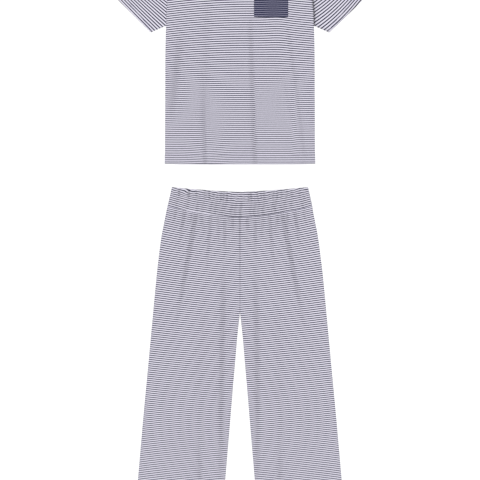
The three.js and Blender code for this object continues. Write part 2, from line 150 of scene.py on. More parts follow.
@dataclass(frozen=True)
class Curve:
    """A smooth curve through a short table, cubic between its rows and never past them."""

    at: tuple[float, ...]
    value: tuple[float, ...]

    def __call__(self, where: Array | float) -> Array:
        """Value at each place, with a harmonic mean of the slopes beside a row as its slope.

        Args:
            where: Places, which are held between the table's first and last.

        Returns:
            The value at each.
        """
        at, value = np.array(self.at), np.array(self.value)
        step = np.diff(at)
        slope = np.diff(value) / step
        product = slope[:-1] * slope[1:]
        total = slope[:-1] + slope[1:]
        inner = np.where(product > 0, 2 * product / np.where(total == 0, 1.0, total), 0.0)
        tangent = np.concatenate([slope[:1], inner, slope[-1:]])
        place = np.clip(where, at[0], at[-1])
        row = np.clip(np.searchsorted(at, place, side="right") - 1, 0, len(step) - 1)
        t = (place - at[row]) / step[row]
        values = lerp(value[row], value[row + 1], 3 * t**2 - 2 * t**3)
        leaving = (t**3 - 2 * t**2 + t) * step[row] * tangent[row]
        arriving = (t**3 - t**2) * step[row] * tangent[row + 1]
        return values + leaving + arriving

    def stripes(self, where: Array) -> Array:
        """Number of stripes passed at each place, where this curve is their pitch."""
        margin, samples = 60.0, 2000
        fine = np.linspace(min(self.at) - margin, max(self.at) + margin, samples)
        passed = np.diff(fine) / self(0.5 * (fine[1:] + fine[:-1]))
        count = np.concatenate([[0.0], np.cumsum(passed)])
        before = np.minimum(where - fine[0], 0.0) / self.value[0]
        after = np.maximum(where - fine[-1], 0.0) / self.value[-1]
        return np.interp(where, fine, count) + before + after


@dataclass(frozen=True)
class Fold:
    """The trough beside a soft fold, as a bell curve swept along a bowed line.

    Its depth grows over the share fade_in of its length and dies away over the share fade_out.
    """

    start: tuple[float, float]
    end: tuple[float, float]
    depth: float
    width: float
    bow: float = 0.0
    fade_in: float = 0.0
    fade_out: float = 0.0

    def depth_at(self, x: Array, y: Array) -> Array:
        """Depth of the trough at each point."""
        t = (y - self.start[1]) / (self.end[1] - self.start[1])
        middle = lerp(self.start[0], self.end[0], t) + self.bow * 4 * t * (1 - t)
        grown = smooth(0.0, self.fade_in, t) if self.fade_in else 1.0
        left = smooth(0.0, self.fade_out, 1 - t) if self.fade_out else 1.0
        inside = (t >= 0) & (t <= 1)
        return self.depth * grown * left * bell(x - middle, self.width) * inside


def troughs(folds: Sequence[Fold], x: Array, y: Array) -> Array:
    """Depth of all the troughs together."""
    return sum((fold.depth_at(x, y) for fold in folds), np.zeros_like(x))


@dataclass(frozen=True)
class Slip:
    """An oval patch of stripes pushed down: how far, its middle, and its reach each way."""

    by: float
    middle: tuple[float, float]
    reach: tuple[float, float]

    def at(self, x: Array, y: Array) -> Array:
        """How far the stripes are pushed down at each point."""
        (middle_x, middle_y), (wide, high) = self.middle, self.reach
        return self.by * bell(x - middle_x, wide) * bell(y - middle_y, high)


@dataclass(frozen=True)
class Jersey:
    """How the cloth is made up, in millimetres."""

    wall: float = 1.2
    gap: float = 0.3
    hem_turn: float = 28.0
    hem_step: float = 3.0
    hem_rows: tuple[float, float] = (23.8, 27.0)
    stitch_dip: float = 0.45
    softness: float = 0.4
    reach: float = 20.0
    edge: float = 2.2
    seam_roll: float = 4.5
    seam_gap: float = 0.06
    # Painted shade: the trough depth that gets full painted shade, and how much painted shade troughs
    # and turned edges get.
    full_shade_depth: float = 3.6
    trough_shade: float = 0.5
    edge_shade: float = 0.25
    edge_shade_reach: float = 3.0
    stitch_width: float = 0.9
    row_inset: float = 2.5

    def layers(self, above: Array) -> Array:
        """Layers at a height above a hem's foot: two in its turn, and one above."""
        return 2.0 - smooth(self.hem_turn - self.hem_step, self.hem_turn, above)

    def air(self, height: Array) -> Array:
        """Air under a layer, never below zero and soft where it closes."""
        open_height = np.maximum(height, 0.0)
        return open_height**2 / (open_height + self.softness)

    def risen(self, distance: Array) -> Array:
        """Share of its loft that a layer reaches at a distance from its edge."""
        return 1.0 - np.exp(-np.maximum(distance, 0.0) / self.reach)

    def painted_shading_map(self, depth: Array, edge: Array) -> Array:
        """Painted shade, from 0 to 1: in a trough, and a little where the cloth turns under."""
        in_trough = np.clip(depth / self.full_shade_depth, 0.0, 1.0)
        turning = 1.0 - smooth(0.0, self.edge_shade_reach, edge)
        return in_trough * self.trough_shade + self.edge_shade * turning

    def sewn(self, above: Array) -> Array:
        """How far the hem's two rows of stitching pull the cloth in."""
        return self.stitch_dip * sum(bell(above - row, self.stitch_width) for row in self.hem_rows)

    def front_faces(self, top: Array, wall: Array, edge: Array) -> tuple[Array, Array]:
        """Faces of a front panel, closed in a round edge that rolls down to the seam.

        Args:
            top: Height of the outer face where it lies free.
            wall: Thickness of the cloth.
            edge: Distance from the panel's nearest edge.

        Returns:
            Height of the outer face and of the underside.
        """
        sunk = (self.gap - self.seam_gap) * (1 - smooth(0, self.seam_roll, edge))
        middle = top - 0.5 * wall - sunk
        half = 0.5 * wall * rounded(edge, self.edge)
        return middle + half, middle - half

    @staticmethod
    def flat_faces(wall: Array | float, edge: Array, radius: float) -> tuple[Array, Array]:
        """Faces of cloth that rests on the surface.

        Args:
            wall: Thickness of the cloth.
            edge: Distance from its nearest edge.
            radius: Radius in which its faces close there.

        Returns:
            Height of the upper face and of the underside.
        """
        half = 0.5 * wall * rounded(edge, radius)
        return 0.5 * wall + half, 0.5 * wall - half

    def panel_rows(self, foot: Array | float, head: Array, length: float, run: float) -> Array:
        """Heights of a panel's rows of points.

        Rows keep their height above the hem's foot near it, and share out the rest of the way.

        Args:
            foot: Height of the hem's foot in each column.
            head: Height of the top edge in each column.
            length: The panel's greatest length.
            run: Usual length of a cell.

        Returns:
            Y of each point.
        """
        level = 2 * self.hem_turn
        rows = stations(length, run, marks=(*self.hem_rows, self.hem_turn))[:, None]
        share = np.clip((rows - level) / (length - level), 0, 1)
        return foot + np.minimum(rows, level) + share * (head - foot - level)


JERSEY = Jersey()


def grid_quads(index: Array, wrap: bool = False) -> Array:
    """Quads between the numbered points of a grid, joined round its rows if wrap is set."""
    if wrap:
        index = np.concatenate([index, index[:, :1]], axis=1)
    corners = [index[:-1, :-1], index[:-1, 1:], index[1:, 1:], index[1:, :-1]]
    return np.stack(corners, axis=-1).reshape(-1, 4)


def turned(quads: Array) -> Array:
    """The same quads facing the other way, each with the same first corner."""
    return quads[:, [0, 3, 2, 1]]


def outward(points: Array, quads: Array) -> Array:
    """Quads of a closed shell turned so that its signed volume is positive."""
    a, b, c, d = (points[quads[:, i]] for i in range(4))
    volume = np.einsum("ij,ij->", a, np.cross(b, c)) + np.einsum("ij,ij->", a, np.cross(c, d))
    return quads if volume > 0 else turned(quads)


@dataclass
class Shell:
    """A closed shell of cloth: points in millimetres, quads, and the grain and painted shading at each
    point.
    """

    points: Array
    quads: Array
    grain: Array
    painted_shading: Array

    @classmethod
    def of_layer(cls, x: Array, y: Array, faces: tuple[Array, Array], grain: tuple[Array, Array],
                 painted_shading: Array | float = 0.0) -> Shell:
        """Joins the top and the underside of a layer, which share the points of its edge.

        Args:
            x: Points' X on a grid of rows and columns.
            y: Their Y.
            faces: Height of the top face and of the underside.
            grain: Distance along the stripes, and number of stripes passed.
            painted_shading: Painted shade on the top face, from 0 to 1, and a painted highlight where it
                is below zero.

        Returns:
            The closed shell.
        """
        (top, under), (along, stripes) = faces, grain
        count = x.size
        over = np.arange(count).reshape(x.shape)
        below = over + count
        below[[0, -1]], below[:, [0, -1]] = over[[0, -1]], over[:, [0, -1]]
        panels = [grid_quads(over), grid_quads(below)]
        for panel in panels:
            ends = [x.shape[1] - 2, 1 - x.shape[1]]
            panel[ends] = np.roll(panel[ends], 1, axis=1)
        points = np.stack([np.tile(x.ravel(), 2), np.tile(y.ravel(), 2),
                           np.concatenate([top.ravel(), under.ravel()])], axis=-1)
        one_face = np.stack([(along + 0 * x).ravel(), (stripes + 0 * x).ravel()], axis=-1)
        grain_map = np.tile(one_face, (2, 1))
        quads = np.concatenate([panels[0], turned(panels[1])])
        painted_shading_map = np.concatenate([(painted_shading + 0 * x).ravel(), np.zeros(count)])
        return cls.closed(points, quads, grain_map, painted_shading_map)

    @classmethod
    def of_tube(cls, outer: Array, inner: Array, grain: Array, painted_shading: Array) -> Shell:
        """Joins the two walls of an open tube, which share the points of both its ends.

        Args:
            outer: Rings of points on the outside, as an array of rings, points and X, Y and Z.
            inner: The same number of points on the inside.
            grain: Distance along the stripes and number of stripes at each point of a wall.
            painted_shading: Painted shade on each wall, from 0 to 1.

        Returns:
            The closed shell.
        """
        rings, around, _ = outer.shape
        count = rings * around
        over = np.arange(count).reshape(rings, around)
        below = over + count
        below[[0, -1]] = over[[0, -1]]
        points = np.concatenate([outer.reshape(-1, 3), inner.reshape(-1, 3)])
        quads = np.concatenate([grid_quads(over, wrap=True), turned(grid_quads(below, wrap=True))])
        grain_map = np.tile(grain.reshape(-1, 2), (2, 1))
        return cls.closed(points, quads, grain_map, np.tile(painted_shading.ravel(), 2))

    @classmethod
    def closed(cls, points: Array, quads: Array, grain: Array, painted_shading: Array) -> Shell:
        """Makes a shell of the points that its quads use, with the quads turned outwards.

        Args:
            points: All the points.
            quads: Four point numbers for each quad.
            grain: Grain at each point.
            painted_shading: Painted shade at each point.

        Returns:
            The shell, with its points numbered anew.
        """
        used, quads = np.unique(quads, return_inverse=True)
        points, quads = points[used], quads.reshape(-1, 4)
        return cls(points, outward(points, quads), grain[used], painted_shading[used])

    def build(self, name: str) -> bpy.types.Mesh:
        """Makes the mesh in metres, with its grain map and its painted shading, and shades it smooth.

        Args:
            name: Name of the mesh.

        Returns:
            The mesh.
        """
        mesh = bpy.data.meshes.new(name)
        mesh.vertices.add(len(self.points))
        mesh.vertices.foreach_set("co", (self.points * MM).astype(np.float32).ravel())
        mesh.loops.add(self.quads.size)
        mesh.loops.foreach_set("vertex_index", self.quads.astype(np.int32).ravel())
        mesh.polygons.add(len(self.quads))
        mesh.polygons.foreach_set("loop_start", np.arange(0, self.quads.size, 4, dtype=np.int32))
        mesh.update(calc_edges=True)
        grain = self.grain * np.array([MM, GRAIN_PITCH])
        layer = mesh.uv_layers.new(name=GRAIN_MAP)
        layer.uv.foreach_set("vector", grain[self.quads.ravel()].astype(np.float32).ravel())
        # Painted shading, kept on each point for the material to darken or lighten the base colour.
        painted_shading_map = mesh.attributes.new(name=PAINTED_SHADING_ATTRIBUTE, type="FLOAT", domain="POINT")
        painted_shading_map.data.foreach_set("value", self.painted_shading.astype(np.float32))
        mesh.shade_smooth()
        mesh.validate()
        return mesh


# Finishes


class Value:
    """A number that varies over a surface. Sums on it add Math nodes to its material."""

    def __init__(self, shader: Shader, socket: bpy.types.NodeSocket) -> None:
        """Wraps a node's output in the given material."""
        self.shader = shader
        self.socket = socket

    def _math(self, operation: str, *terms: Value | float) -> Value:
        """Adds one Math node to the material and gives its result."""
        node = self.shader.node("ShaderNodeMath", {"operation": operation}, dict(enumerate(terms)))
        return Value(self.shader, node.outputs[0])

    def __add__(self, other: Value | float) -> Value:
        """Sum."""
        return self._math("ADD", self, other)

    def __radd__(self, other: float) -> Value:
        """Sum with a number first."""
        return self._math("ADD", other, self)

    def __sub__(self, other: Value | float) -> Value:
        """Difference."""
        return self._math("SUBTRACT", self, other)

    def __rsub__(self, other: float) -> Value:
        """Difference from a number."""
        return self._math("SUBTRACT", other, self)

    def __mul__(self, other: Value | float) -> Value:
        """Product."""
        return self._math("MULTIPLY", self, other)

    def __rmul__(self, other: float) -> Value:
        """Product with a number first."""
        return self._math("MULTIPLY", other, self)

    def __truediv__(self, other: Value | float) -> Value:
        """Quotient."""
        return self._math("DIVIDE", self, other)

    def fraction(self) -> Value:
        """Part after the point."""
        return self._math("FRACT", self)

    def size(self) -> Value:
        """Value without its sign."""
        return self._math("ABSOLUTE", self)

    def cosine(self) -> Value:
        """Cosine of the value in radians."""
        return self._math("COSINE", self)

    def between(self, low: float, high: float) -> Value:
        """Smooth share from 0 at low to 1 at high."""
        inputs = {"Value": self, "From Min": low, "From Max": high, "To Min": 0.0, "To Max": 1.0}
        node = self.shader.node("ShaderNodeMapRange", {"interpolation_type": "SMOOTHSTEP"}, inputs)
        return Value(self.shader, node.outputs["Result"])


class Shader:
    """A node material while it is wired."""

    def __init__(self, name: str) -> None:
        """Starts an empty material with its Principled shader and output."""
        self.material = bpy.data.materials.new(name)
        self.material.use_nodes = True
        self.tree = self.material.node_tree
        self.tree.nodes.clear()
        self.surface = self.node("ShaderNodeBsdfPrincipled")
        self.node("ShaderNodeOutputMaterial", inputs={"Surface": self.surface.outputs["BSDF"]})

    def node(self, kind: str, settings: Mapping[str, object] | None = None,
             inputs: Mapping[str | int, object] | None = None) -> bpy.types.Node:
        """Adds a node.

        Args:
            kind: The node's type.
            settings: The node's own settings, which are set first.
            inputs: A number, a colour, a socket or a Value for each named or numbered socket.

        Returns:
            The new node.
        """
        node = self.tree.nodes.new(kind)
        for key, setting in (settings or {}).items():
            setattr(node, key, setting)
        for key, given in (inputs or {}).items():
            self.feed(node.inputs[key], given)
        return node

    def feed(self, socket: bpy.types.NodeSocket, given: object) -> None:
        """Links a socket or a Value to an input, or sets a number or colour on it."""
        source = given.socket if isinstance(given, Value) else given
        if isinstance(source, bpy.types.NodeSocket):
            self.tree.links.new(source, socket)
        elif isinstance(source, tuple) and len(source) == 3 and socket.type == "RGBA":
            socket.default_value = (*source, 1.0)
        else:
            socket.default_value = source

    def finish(self, inputs: Mapping[str, object]) -> bpy.types.Material:
        """Feeds the Principled shader and gives the finished material."""
        for key, given in inputs.items():
            self.feed(self.surface.inputs[key], given)
        return self.material

    def noise(self, scale: float, detail: float, vector: bpy.types.NodeSocket) -> Value:
        """Adds a cloudy value.

        Args:
            scale: About how many lumps there are in a metre.
            detail: How many times each lump is broken up.
            vector: Place on the piece.

        Returns:
            A value from 0 to 1.
        """
        node = self.node("ShaderNodeTexNoise", {"noise_dimensions": "3D"},
                         {"Vector": vector, "Scale": scale, "Detail": detail, "Roughness": 0.55})
        return Value(self, node.outputs["Fac"])

    def mix(self, factor: Value, first: object, second: object) -> bpy.types.NodeSocket:
        """Colour that goes from first to second. The Mix node's colours are told by their numbers."""
        factor_in, first_in, second_in, colour_out = 0, 6, 7, 2
        inputs = {factor_in: factor, first_in: first, second_in: second}
        return self.node("ShaderNodeMix", {"data_type": "RGBA"}, inputs).outputs[colour_out]

    def scaled(self, colour: bpy.types.NodeSocket | Colour, by: Value) -> bpy.types.NodeSocket:
        """Colour made lighter or darker."""
        node = self.node("ShaderNodeVectorMath", {"operation": "SCALE"}, {"Vector": colour, "Scale": by})
        return node.outputs["Vector"]


@dataclass(frozen=True)
class StripedKnit:
    """Plain jersey with stripes knitted in. Colours are linear.

    The grain map gives metres along a stripe, and the number of stripes passed. The courses of
    stitches run with the stripes, and each stitch is a V, so the stripes' edges are toothed. The base
    colour is darkened by painted shade in the gaps between stitches and wales, and by the painted
    shading attribute in creases, which also paints highlight where it is below zero.
    """

    name: str
    ground: Colour
    stripe: Colour
    stripe_share: float
    wale: float = 0.00105
    courses: float = 7.0
    edge: float = 0.035
    vee: float = 0.6
    loose: float = 0.3
    fuzz: float = 0.05
    relief: float = 0.00022
    # Strength of the painted shade that the painted shading attribute puts into the base colour.
    painted_shade_strength: float = 0.34
    fibre_scale: float = 900.0
    cloud_scale: float = 14.0
    tone: float = 0.9
    # This weight and the next paint shade into the gaps between stitches and between wales.
    stitch_gap_shade: float = 0.05
    wale_gap_shade: float = 0.03
    cloud_tone: float = 0.05
    fibre_tone: float = 0.1
    stitch_height: float = 0.55
    wale_height: float = 0.45
    fibre_height: float = 0.35

    def build(self) -> bpy.types.Material:
        """Wires the material."""
        shader = Shader(self.name)
        grain = shader.node("ShaderNodeUVMap", {"uv_map": GRAIN_MAP}).outputs["UV"]
        axes = shader.node("ShaderNodeSeparateXYZ", inputs={"Vector": grain})
        along, across = (Value(shader, axes.outputs[name]) for name in ("X", "Y"))
        place = shader.node("ShaderNodeTexCoord").outputs["Object"]
        fibre = shader.noise(self.fibre_scale, 2.0, place)
        cloud = shader.noise(self.cloud_scale, 3.0, place)

        arm = ((along * (1.0 / self.wale)).fraction() - 0.5).size() * 2.0
        passed = across * (1.0 / GRAIN_PITCH)
        course = passed * self.courses + arm * self.vee + fibre * self.loose
        stitch = (course * (2 * np.pi)).cosine() * 0.5 + 0.5
        wale = 1.0 - arm * arm

        toothed = passed + arm * (0.5 / self.courses) + (fibre - 0.5) * self.fuzz
        from_middle = (toothed.fraction() - 0.5).size()
        half = 0.5 * self.stripe_share
        ground = from_middle.between(half - self.edge, half + self.edge)
        colour = shader.mix(ground, self.stripe, self.ground)
        painted_shading_map = shader.node("ShaderNodeAttribute", {"attribute_name": PAINTED_SHADING_ATTRIBUTE})
        painted_shading = Value(shader, painted_shading_map.outputs["Fac"])
        # Painted shade: the base colour is darker in the gaps between stitches and between wales.
        gap_shaded_tone = self.tone + stitch * self.stitch_gap_shade + wale * self.wale_gap_shade
        mottled = (cloud - 0.5) * self.cloud_tone + (fibre - 0.5) * self.fibre_tone
        # Painted shade in creases and at edges from the painted shading attribute, and a painted
        # highlight where it is below zero.
        shade = (gap_shaded_tone + mottled) * (1.0 - painted_shading * self.painted_shade_strength)
        height = stitch * self.stitch_height + wale * self.wale_height + fibre * self.fibre_height
        bump = shader.node("ShaderNodeBump",
                           inputs={"Height": height, "Strength": 0.35, "Distance": self.relief})
        return shader.finish({
            "Base Color": shader.scaled(colour, shade),
            "Roughness": 0.86 + (fibre - 0.5) * 0.14,
            "Normal": bump.outputs["Normal"],
            "Specular IOR Level": 0.2,
            "Sheen Weight": 0.06,
            "Sheen Roughness": 0.6,
            "Sheen Tint": (0.93, 0.93, 1.0),
        })


@dataclass(frozen=True)
class SewingThread:
    """Spun polyester thread, with a faint twist along it. The colour is linear."""

    name: str
    colour: Colour
    ply_scale: float = 2600.0
    tone_scale: float = 60.0

    def build(self) -> bpy.types.Material:
        """Wires the material."""
        shader = Shader(self.name)
        place = shader.node("ShaderNodeTexCoord").outputs["Object"]
        ply = shader.noise(self.ply_scale, 1.0, place)
        tone = shader.noise(self.tone_scale, 2.0, place)
        bump = shader.node("ShaderNodeBump", inputs={"Height": ply, "Strength": 0.5, "Distance": 0.0001})
        return shader.finish({
            "Base Color": shader.scaled(self.colour, 0.9 + tone * 0.12 + ply * 0.08),
            "Roughness": 0.5 + ply * 0.2,
            "Normal": bump.outputs["Normal"],
            "Sheen Weight": 0.2,
        })


@dataclass
class Finishes:
    """The set's finished materials, made once."""

    striped: bpy.types.Material = field(init=False)
    pocket: bpy.types.Material = field(init=False)
    white_thread: bpy.types.Material = field(init=False)
    navy_thread: bpy.types.Material = field(init=False)

    WHITE: Colour = (0.735, 0.71, 0.815)
    NAVY: Colour = (0.030, 0.032, 0.062)
    POCKET_NAVY: Colour = (0.021, 0.023, 0.062)
    DIMMED: Colour = (0.40, 0.385, 0.51)

    def __post_init__(self) -> None:
        """Builds each material."""
        self.striped = StripedKnit("navy_on_white_jersey", self.WHITE, self.NAVY, 0.44).build()
        self.pocket = StripedKnit("white_on_navy_jersey", self.POCKET_NAVY, self.DIMMED, 0.2).build()
        self.white_thread = SewingThread("white_thread", self.WHITE).build()
        self.navy_thread = SewingThread("navy_thread", self.NAVY).build()


# Sewing room


@dataclass
class SewingRoom:
    """Puts finished pieces into the scene, on the body, and keeps a list of their names."""

    finishes: Finishes
    made: list[str] = field(default_factory=list)

    def _add(self, name: str, mesh: bpy.types.Mesh, finish: bpy.types.Material) -> bpy.types.Object:
        """Links a mesh as an object that rides on the body.

        Args:
            name: Name of the piece.
            mesh: Its mesh.
            finish: Its material.

        Returns:
            The new object.
        """
        mesh.materials.append(finish)
        piece = bpy.data.objects.new(name, mesh)
        bpy.context.scene.collection.objects.link(piece)
        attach(piece, BODY)
        self.made.append(name)
        LOG.info("%s: %d faces", name, len(mesh.polygons))
        return piece

    def cloth(self, node: str, shell: Shell, cut: tuple[float, float], rests_on: Sequence[str] = (),
              area: float | None = None, slot: Slot = Slot.STRIPED) -> bpy.types.Object:
        """Adds a piece of jersey in place of its solid.

        Args:
            node: The solid that it stands for.
            shell: Its shape.
            cut: Width and length of the cut that it shows, in metres. Not used.
            rests_on: Nodes that it lies on. Not used.
            area: The cut's area in square metres, where it isn't a rectangle. Not used.
            slot: The finish that it takes.

        Returns:
            The piece.
        """
        finish = self.finishes.pocket if slot is Slot.POCKET else self.finishes.striped
        piece = self._add(f"{node}_jersey", shell.build(f"{node}_jersey"), finish)
        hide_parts(node)
        return piece

    def stitches(self, name: str, rows: Sequence[Array], finish: bpy.types.Material,
                 length: float = 2.6, pitch: float = 3.4, radius: float = 0.28) -> bpy.types.Object:
        """Adds rows of stitches as one mesh.

        Each stitch is a capsule of four rings and six sides, whose ends dip into the cloth.

        Args:
            name: Name of the piece.
            rows: The line of each row on the cloth's surface, as points in millimetres.
            finish: The thread.
            length: Length of a stitch.
            pitch: Distance from one stitch to the next.
            radius: The thread's radius.

        Returns:
            The piece.
        """
        centres, tangents = zip(*(self._spread(row, pitch) for row in rows))
        centre, ahead = np.concatenate(centres), np.concatenate(tangents)
        beside = np.cross(np.array([0.0, 0.0, 1.0]), ahead)
        beside /= np.linalg.norm(beside, axis=1, keepdims=True)
        up = np.cross(ahead, beside)
        sides, sink = 6, 1.3
        place = np.array([-0.5, -0.33, 0.33, 0.5])
        girth = np.array([0.35, 1.0, 1.0, 0.35])
        rings = len(place)
        angle = np.tile(np.linspace(0.0, 2 * np.pi, sides, endpoint=False), rings)
        forth = np.repeat(place * length, sides)
        circle = np.stack([np.cos(angle), np.sin(angle)], axis=-1)
        out = np.repeat(girth * radius, sides)[:, None] * circle
        dip = -sink * radius * np.repeat((2 * place) ** 4, sides)
        points = (centre[:, None, :] + ahead[:, None, :] * forth[None, :, None]
                  + beside[:, None, :] * out[None, :, :1]
                  + up[:, None, :] * (out[None, :, 1:] + dip[None, :, None]))
        wall = grid_quads(np.arange(rings * sides).reshape(rings, sides), wrap=True)
        cap = np.array([[0, 3, 2, 1], [0, 5, 4, 3]])
        far_cap = turned(cap) + (rings - 1) * sides
        one = outward(points[0] - centre[0], np.concatenate([wall, cap, far_cap]))
        quads = (one[None] + rings * sides * np.arange(len(centre))[:, None, None]).reshape(-1, 4)
        flat = points.reshape(-1, 3)
        shell = Shell(flat, quads, np.zeros((len(flat), 2)), np.zeros(len(flat)))
        return self._add(name, shell.build(name), finish)

    @staticmethod
    def _spread(row: Array, pitch: float) -> tuple[Array, Array]:
        """Spreads stitches evenly along a row.

        Args:
            row: Points of the row.
            pitch: Usual distance from one stitch to the next.

        Returns:
            The stitches' middles and their directions.
        """
        step = np.linalg.norm(np.diff(row, axis=0), axis=1)
        passed = np.concatenate([[0.0], np.cumsum(step)])
        count = max(int(passed[-1] / pitch), 1)
        where = (np.arange(count) + 0.5) * passed[-1] / count

        def along(distance: Array) -> Array:
            """Points of the row at each distance from its start."""
            return np.stack([np.interp(distance, passed, row[:, axis]) for axis in range(3)], axis=-1)

        tangent = along(where + 0.5) - along(where - 0.5)
        return along(where), tangent / np.linalg.norm(tangent, axis=1, keepdims=True)


def on_surface(x: Array, y: Array, height: Callable[[Array, Array], Array]) -> Array:
    """Points of a line on a surface that is given by its height."""
    return np.stack([x, y, height(x, y)], axis=-1)


# Tee


@dataclass(frozen=True)
class SleeveStripes:
    """Stripes of a sleeve: their number and pitch at its hem, and how they fan, tilt and bow.

    They fan and bow about a line at the given run along the hem.
    """

    first: float
    pitch: float
    fan: float
    tilt: float
    bow: float
    about: float = 80.0


@dataclass(frozen=True)
class SleeveShade:
    """How much painted shade a sleeve gets at its hem, its seam and the armhole, and how far each
    reaches.
    """

    hem: float = 0.12
    hem_reach: float = 3.5
    armhole_painted_shade: tuple[float, float] = (1.9, 1.3)
    beside: float = 0.35
    beside_reach: float = 13.0
    seam: float = 0.55
    seam_reach: float = 6.0
    mouth: float = 0.3
    mouth_under: float = 0.75
    mouth_reach: tuple[float, float] = (2.0, 7.0)


@dataclass(frozen=True)
class TeePattern:
    """Sizes of the tee, in millimetres, and how its cloth lies."""

    hem_y: float = 227.5
    corner_lift: float = 2.0
    underarm_y: float = 644.0
    shoulder_tip: tuple[float, float] = (198.0, 838.0)
    neck_point: tuple[float, float] = (92.0, 880.0)
    neck_drop_front: float = 92.0
    neck_drop_back: float = 20.0
    neckband_width: float = 20.0
    neckband: float = 2.4
    loft: float = 3.9
    waves: tuple[Wave, ...] = ((0.25, 140.0, 0.0), (0.12, 52.0, 1.7))
    front_cell: tuple[float, float] = (2.8, 6.5)
    back_cell: tuple[float, float] = (9.0, 9.0)
    armhole_air: float = 0.9
    armhole_dip: float = 1.6
    armhole_width: float = 4.0
    tuck_raise: float = 1.3
    tuck_reach: float = 60.0
    tuck_dip: float = 3.0
    tuck_width: float = 4.2
    tuck_top: float = 740.0
    tuck_foot: tuple[float, float] = (636.0, 646.0)
    tuck_turn: tuple[float, float] = (672.0, 712.0)
    # Painted shade along the left armhole's seam on the front: how dark, and how wide, low and high.
    tuck_shade: tuple[float, float] = (0.9, 1.5)
    tuck_shade_width: tuple[float, float] = (2.2, 3.8)
    sleeve_hem_top: tuple[float, float] = (372.5, 728.0)
    sleeve_hem_foot: tuple[float, float] = (268.0, 623.5)
    sleeve_top_bend: tuple[float, float] = (300.0, 797.0)
    sleeve_loft: float = 2.8
    sleeve_wave: Wave = (0.3, 75.0, 0.6)
    sleeve_hem_turn: float = 25.0
    sleeve_cell: float = 4.2
    sleeve_width: float = 200.0
    sleeve_fold_round: float = 1.5
    sleeve_end_round: float = 1.6
    sleeve_shade: SleeveShade = SleeveShade()
    under_slip_right: float = 0.6
    under_slip_left: float = 3.4
    pocket_centre: tuple[float, float] = (93.3, 718.0)
    pocket_size: tuple[float, float] = (102.6, 100.0)
    pocket_hem: float = 18.0
    pocket_slope: float = 0.8
    pocket_corner: float = 0.6
    pocket_cell: float = 3.0
    pocket_round: float = 1.1
    stitch_inset: float = 2.2
    stitch_width: float = 0.8
    stitch_pull: float = 0.4
    band_round: float = 1.2
    band_crown: float = 0.5
    band_stitch_pull: float = 0.35
    band_stripe: float = 6.3
    side: Curve = Curve(
        at=(227.5, 270, 414, 560, 644, 680, 720, 765, 805, 838),
        value=(225.8, 225, 224.4, 223.8, 222, 220.8, 218.4, 213, 204, 198),
    )
    folds: tuple[Fold, ...] = (
        Fold((-173, 665), (-211, 340), 3.0, 12, fade_in=0.45, fade_out=0.3),
        Fold((-92, 780), (-112, 300), 1.1, 13, bow=-3, fade_in=0.2, fade_out=0.2),
        Fold((-109, 500), (-103, 200), 3.1, 5.5, bow=-3, fade_in=0.7),
        Fold((30, 700), (46, 200), 2.9, 7.0, bow=-1, fade_in=0.2),
        Fold((138, 665), (197, 212), 1.8, 5, bow=3, fade_in=0.15, fade_out=0.15),
        Fold((118, 520), (166, 330), 0.6, 6, fade_in=0.3, fade_out=0.3),
    )
    pitch: Curve = Curve(
        at=(200, 240, 360, 450, 570, 720, 880),
        value=(5.515, 5.498, 5.962, 6.142, 6.854, 6.848, 6.848),
    )
    first_stripe: float = -0.059
    arch: float = 0.000272
    arch_peak: float = 31.6
    arch_top: float = 746.5
    slip_head: tuple[float, float] = (553.0, 383.0)
    slip_foot: float = 290.0
    fold_slips: tuple[tuple[float, float, float], ...] = (
        (-113, -97, 1.1985), (36, 50, -2.35), (150, 175, 2.538),
    )
    slips: tuple[Slip, ...] = (
        Slip(-3.68, (118.0, 642.0), (39.0, 93.0)),
        Slip(3.82, (-97.0, 274.0), (49.0, 53.0)),
    )
    stripes_right: SleeveStripes = SleeveStripes(40.96, 7.19, 0.0013, -0.00264, -0.000008)
    stripes_left: SleeveStripes = SleeveStripes(41.413, 7.7, 0.0015, -0.00646, -0.00011)
    pocket_pitch: float = 5.974
    pocket_bow: float = 1.22
    pocket_bow_middle: float = 4.5
    pocket_bow_reach: float = 28.2
    pocket_tilt: float = 0.0044


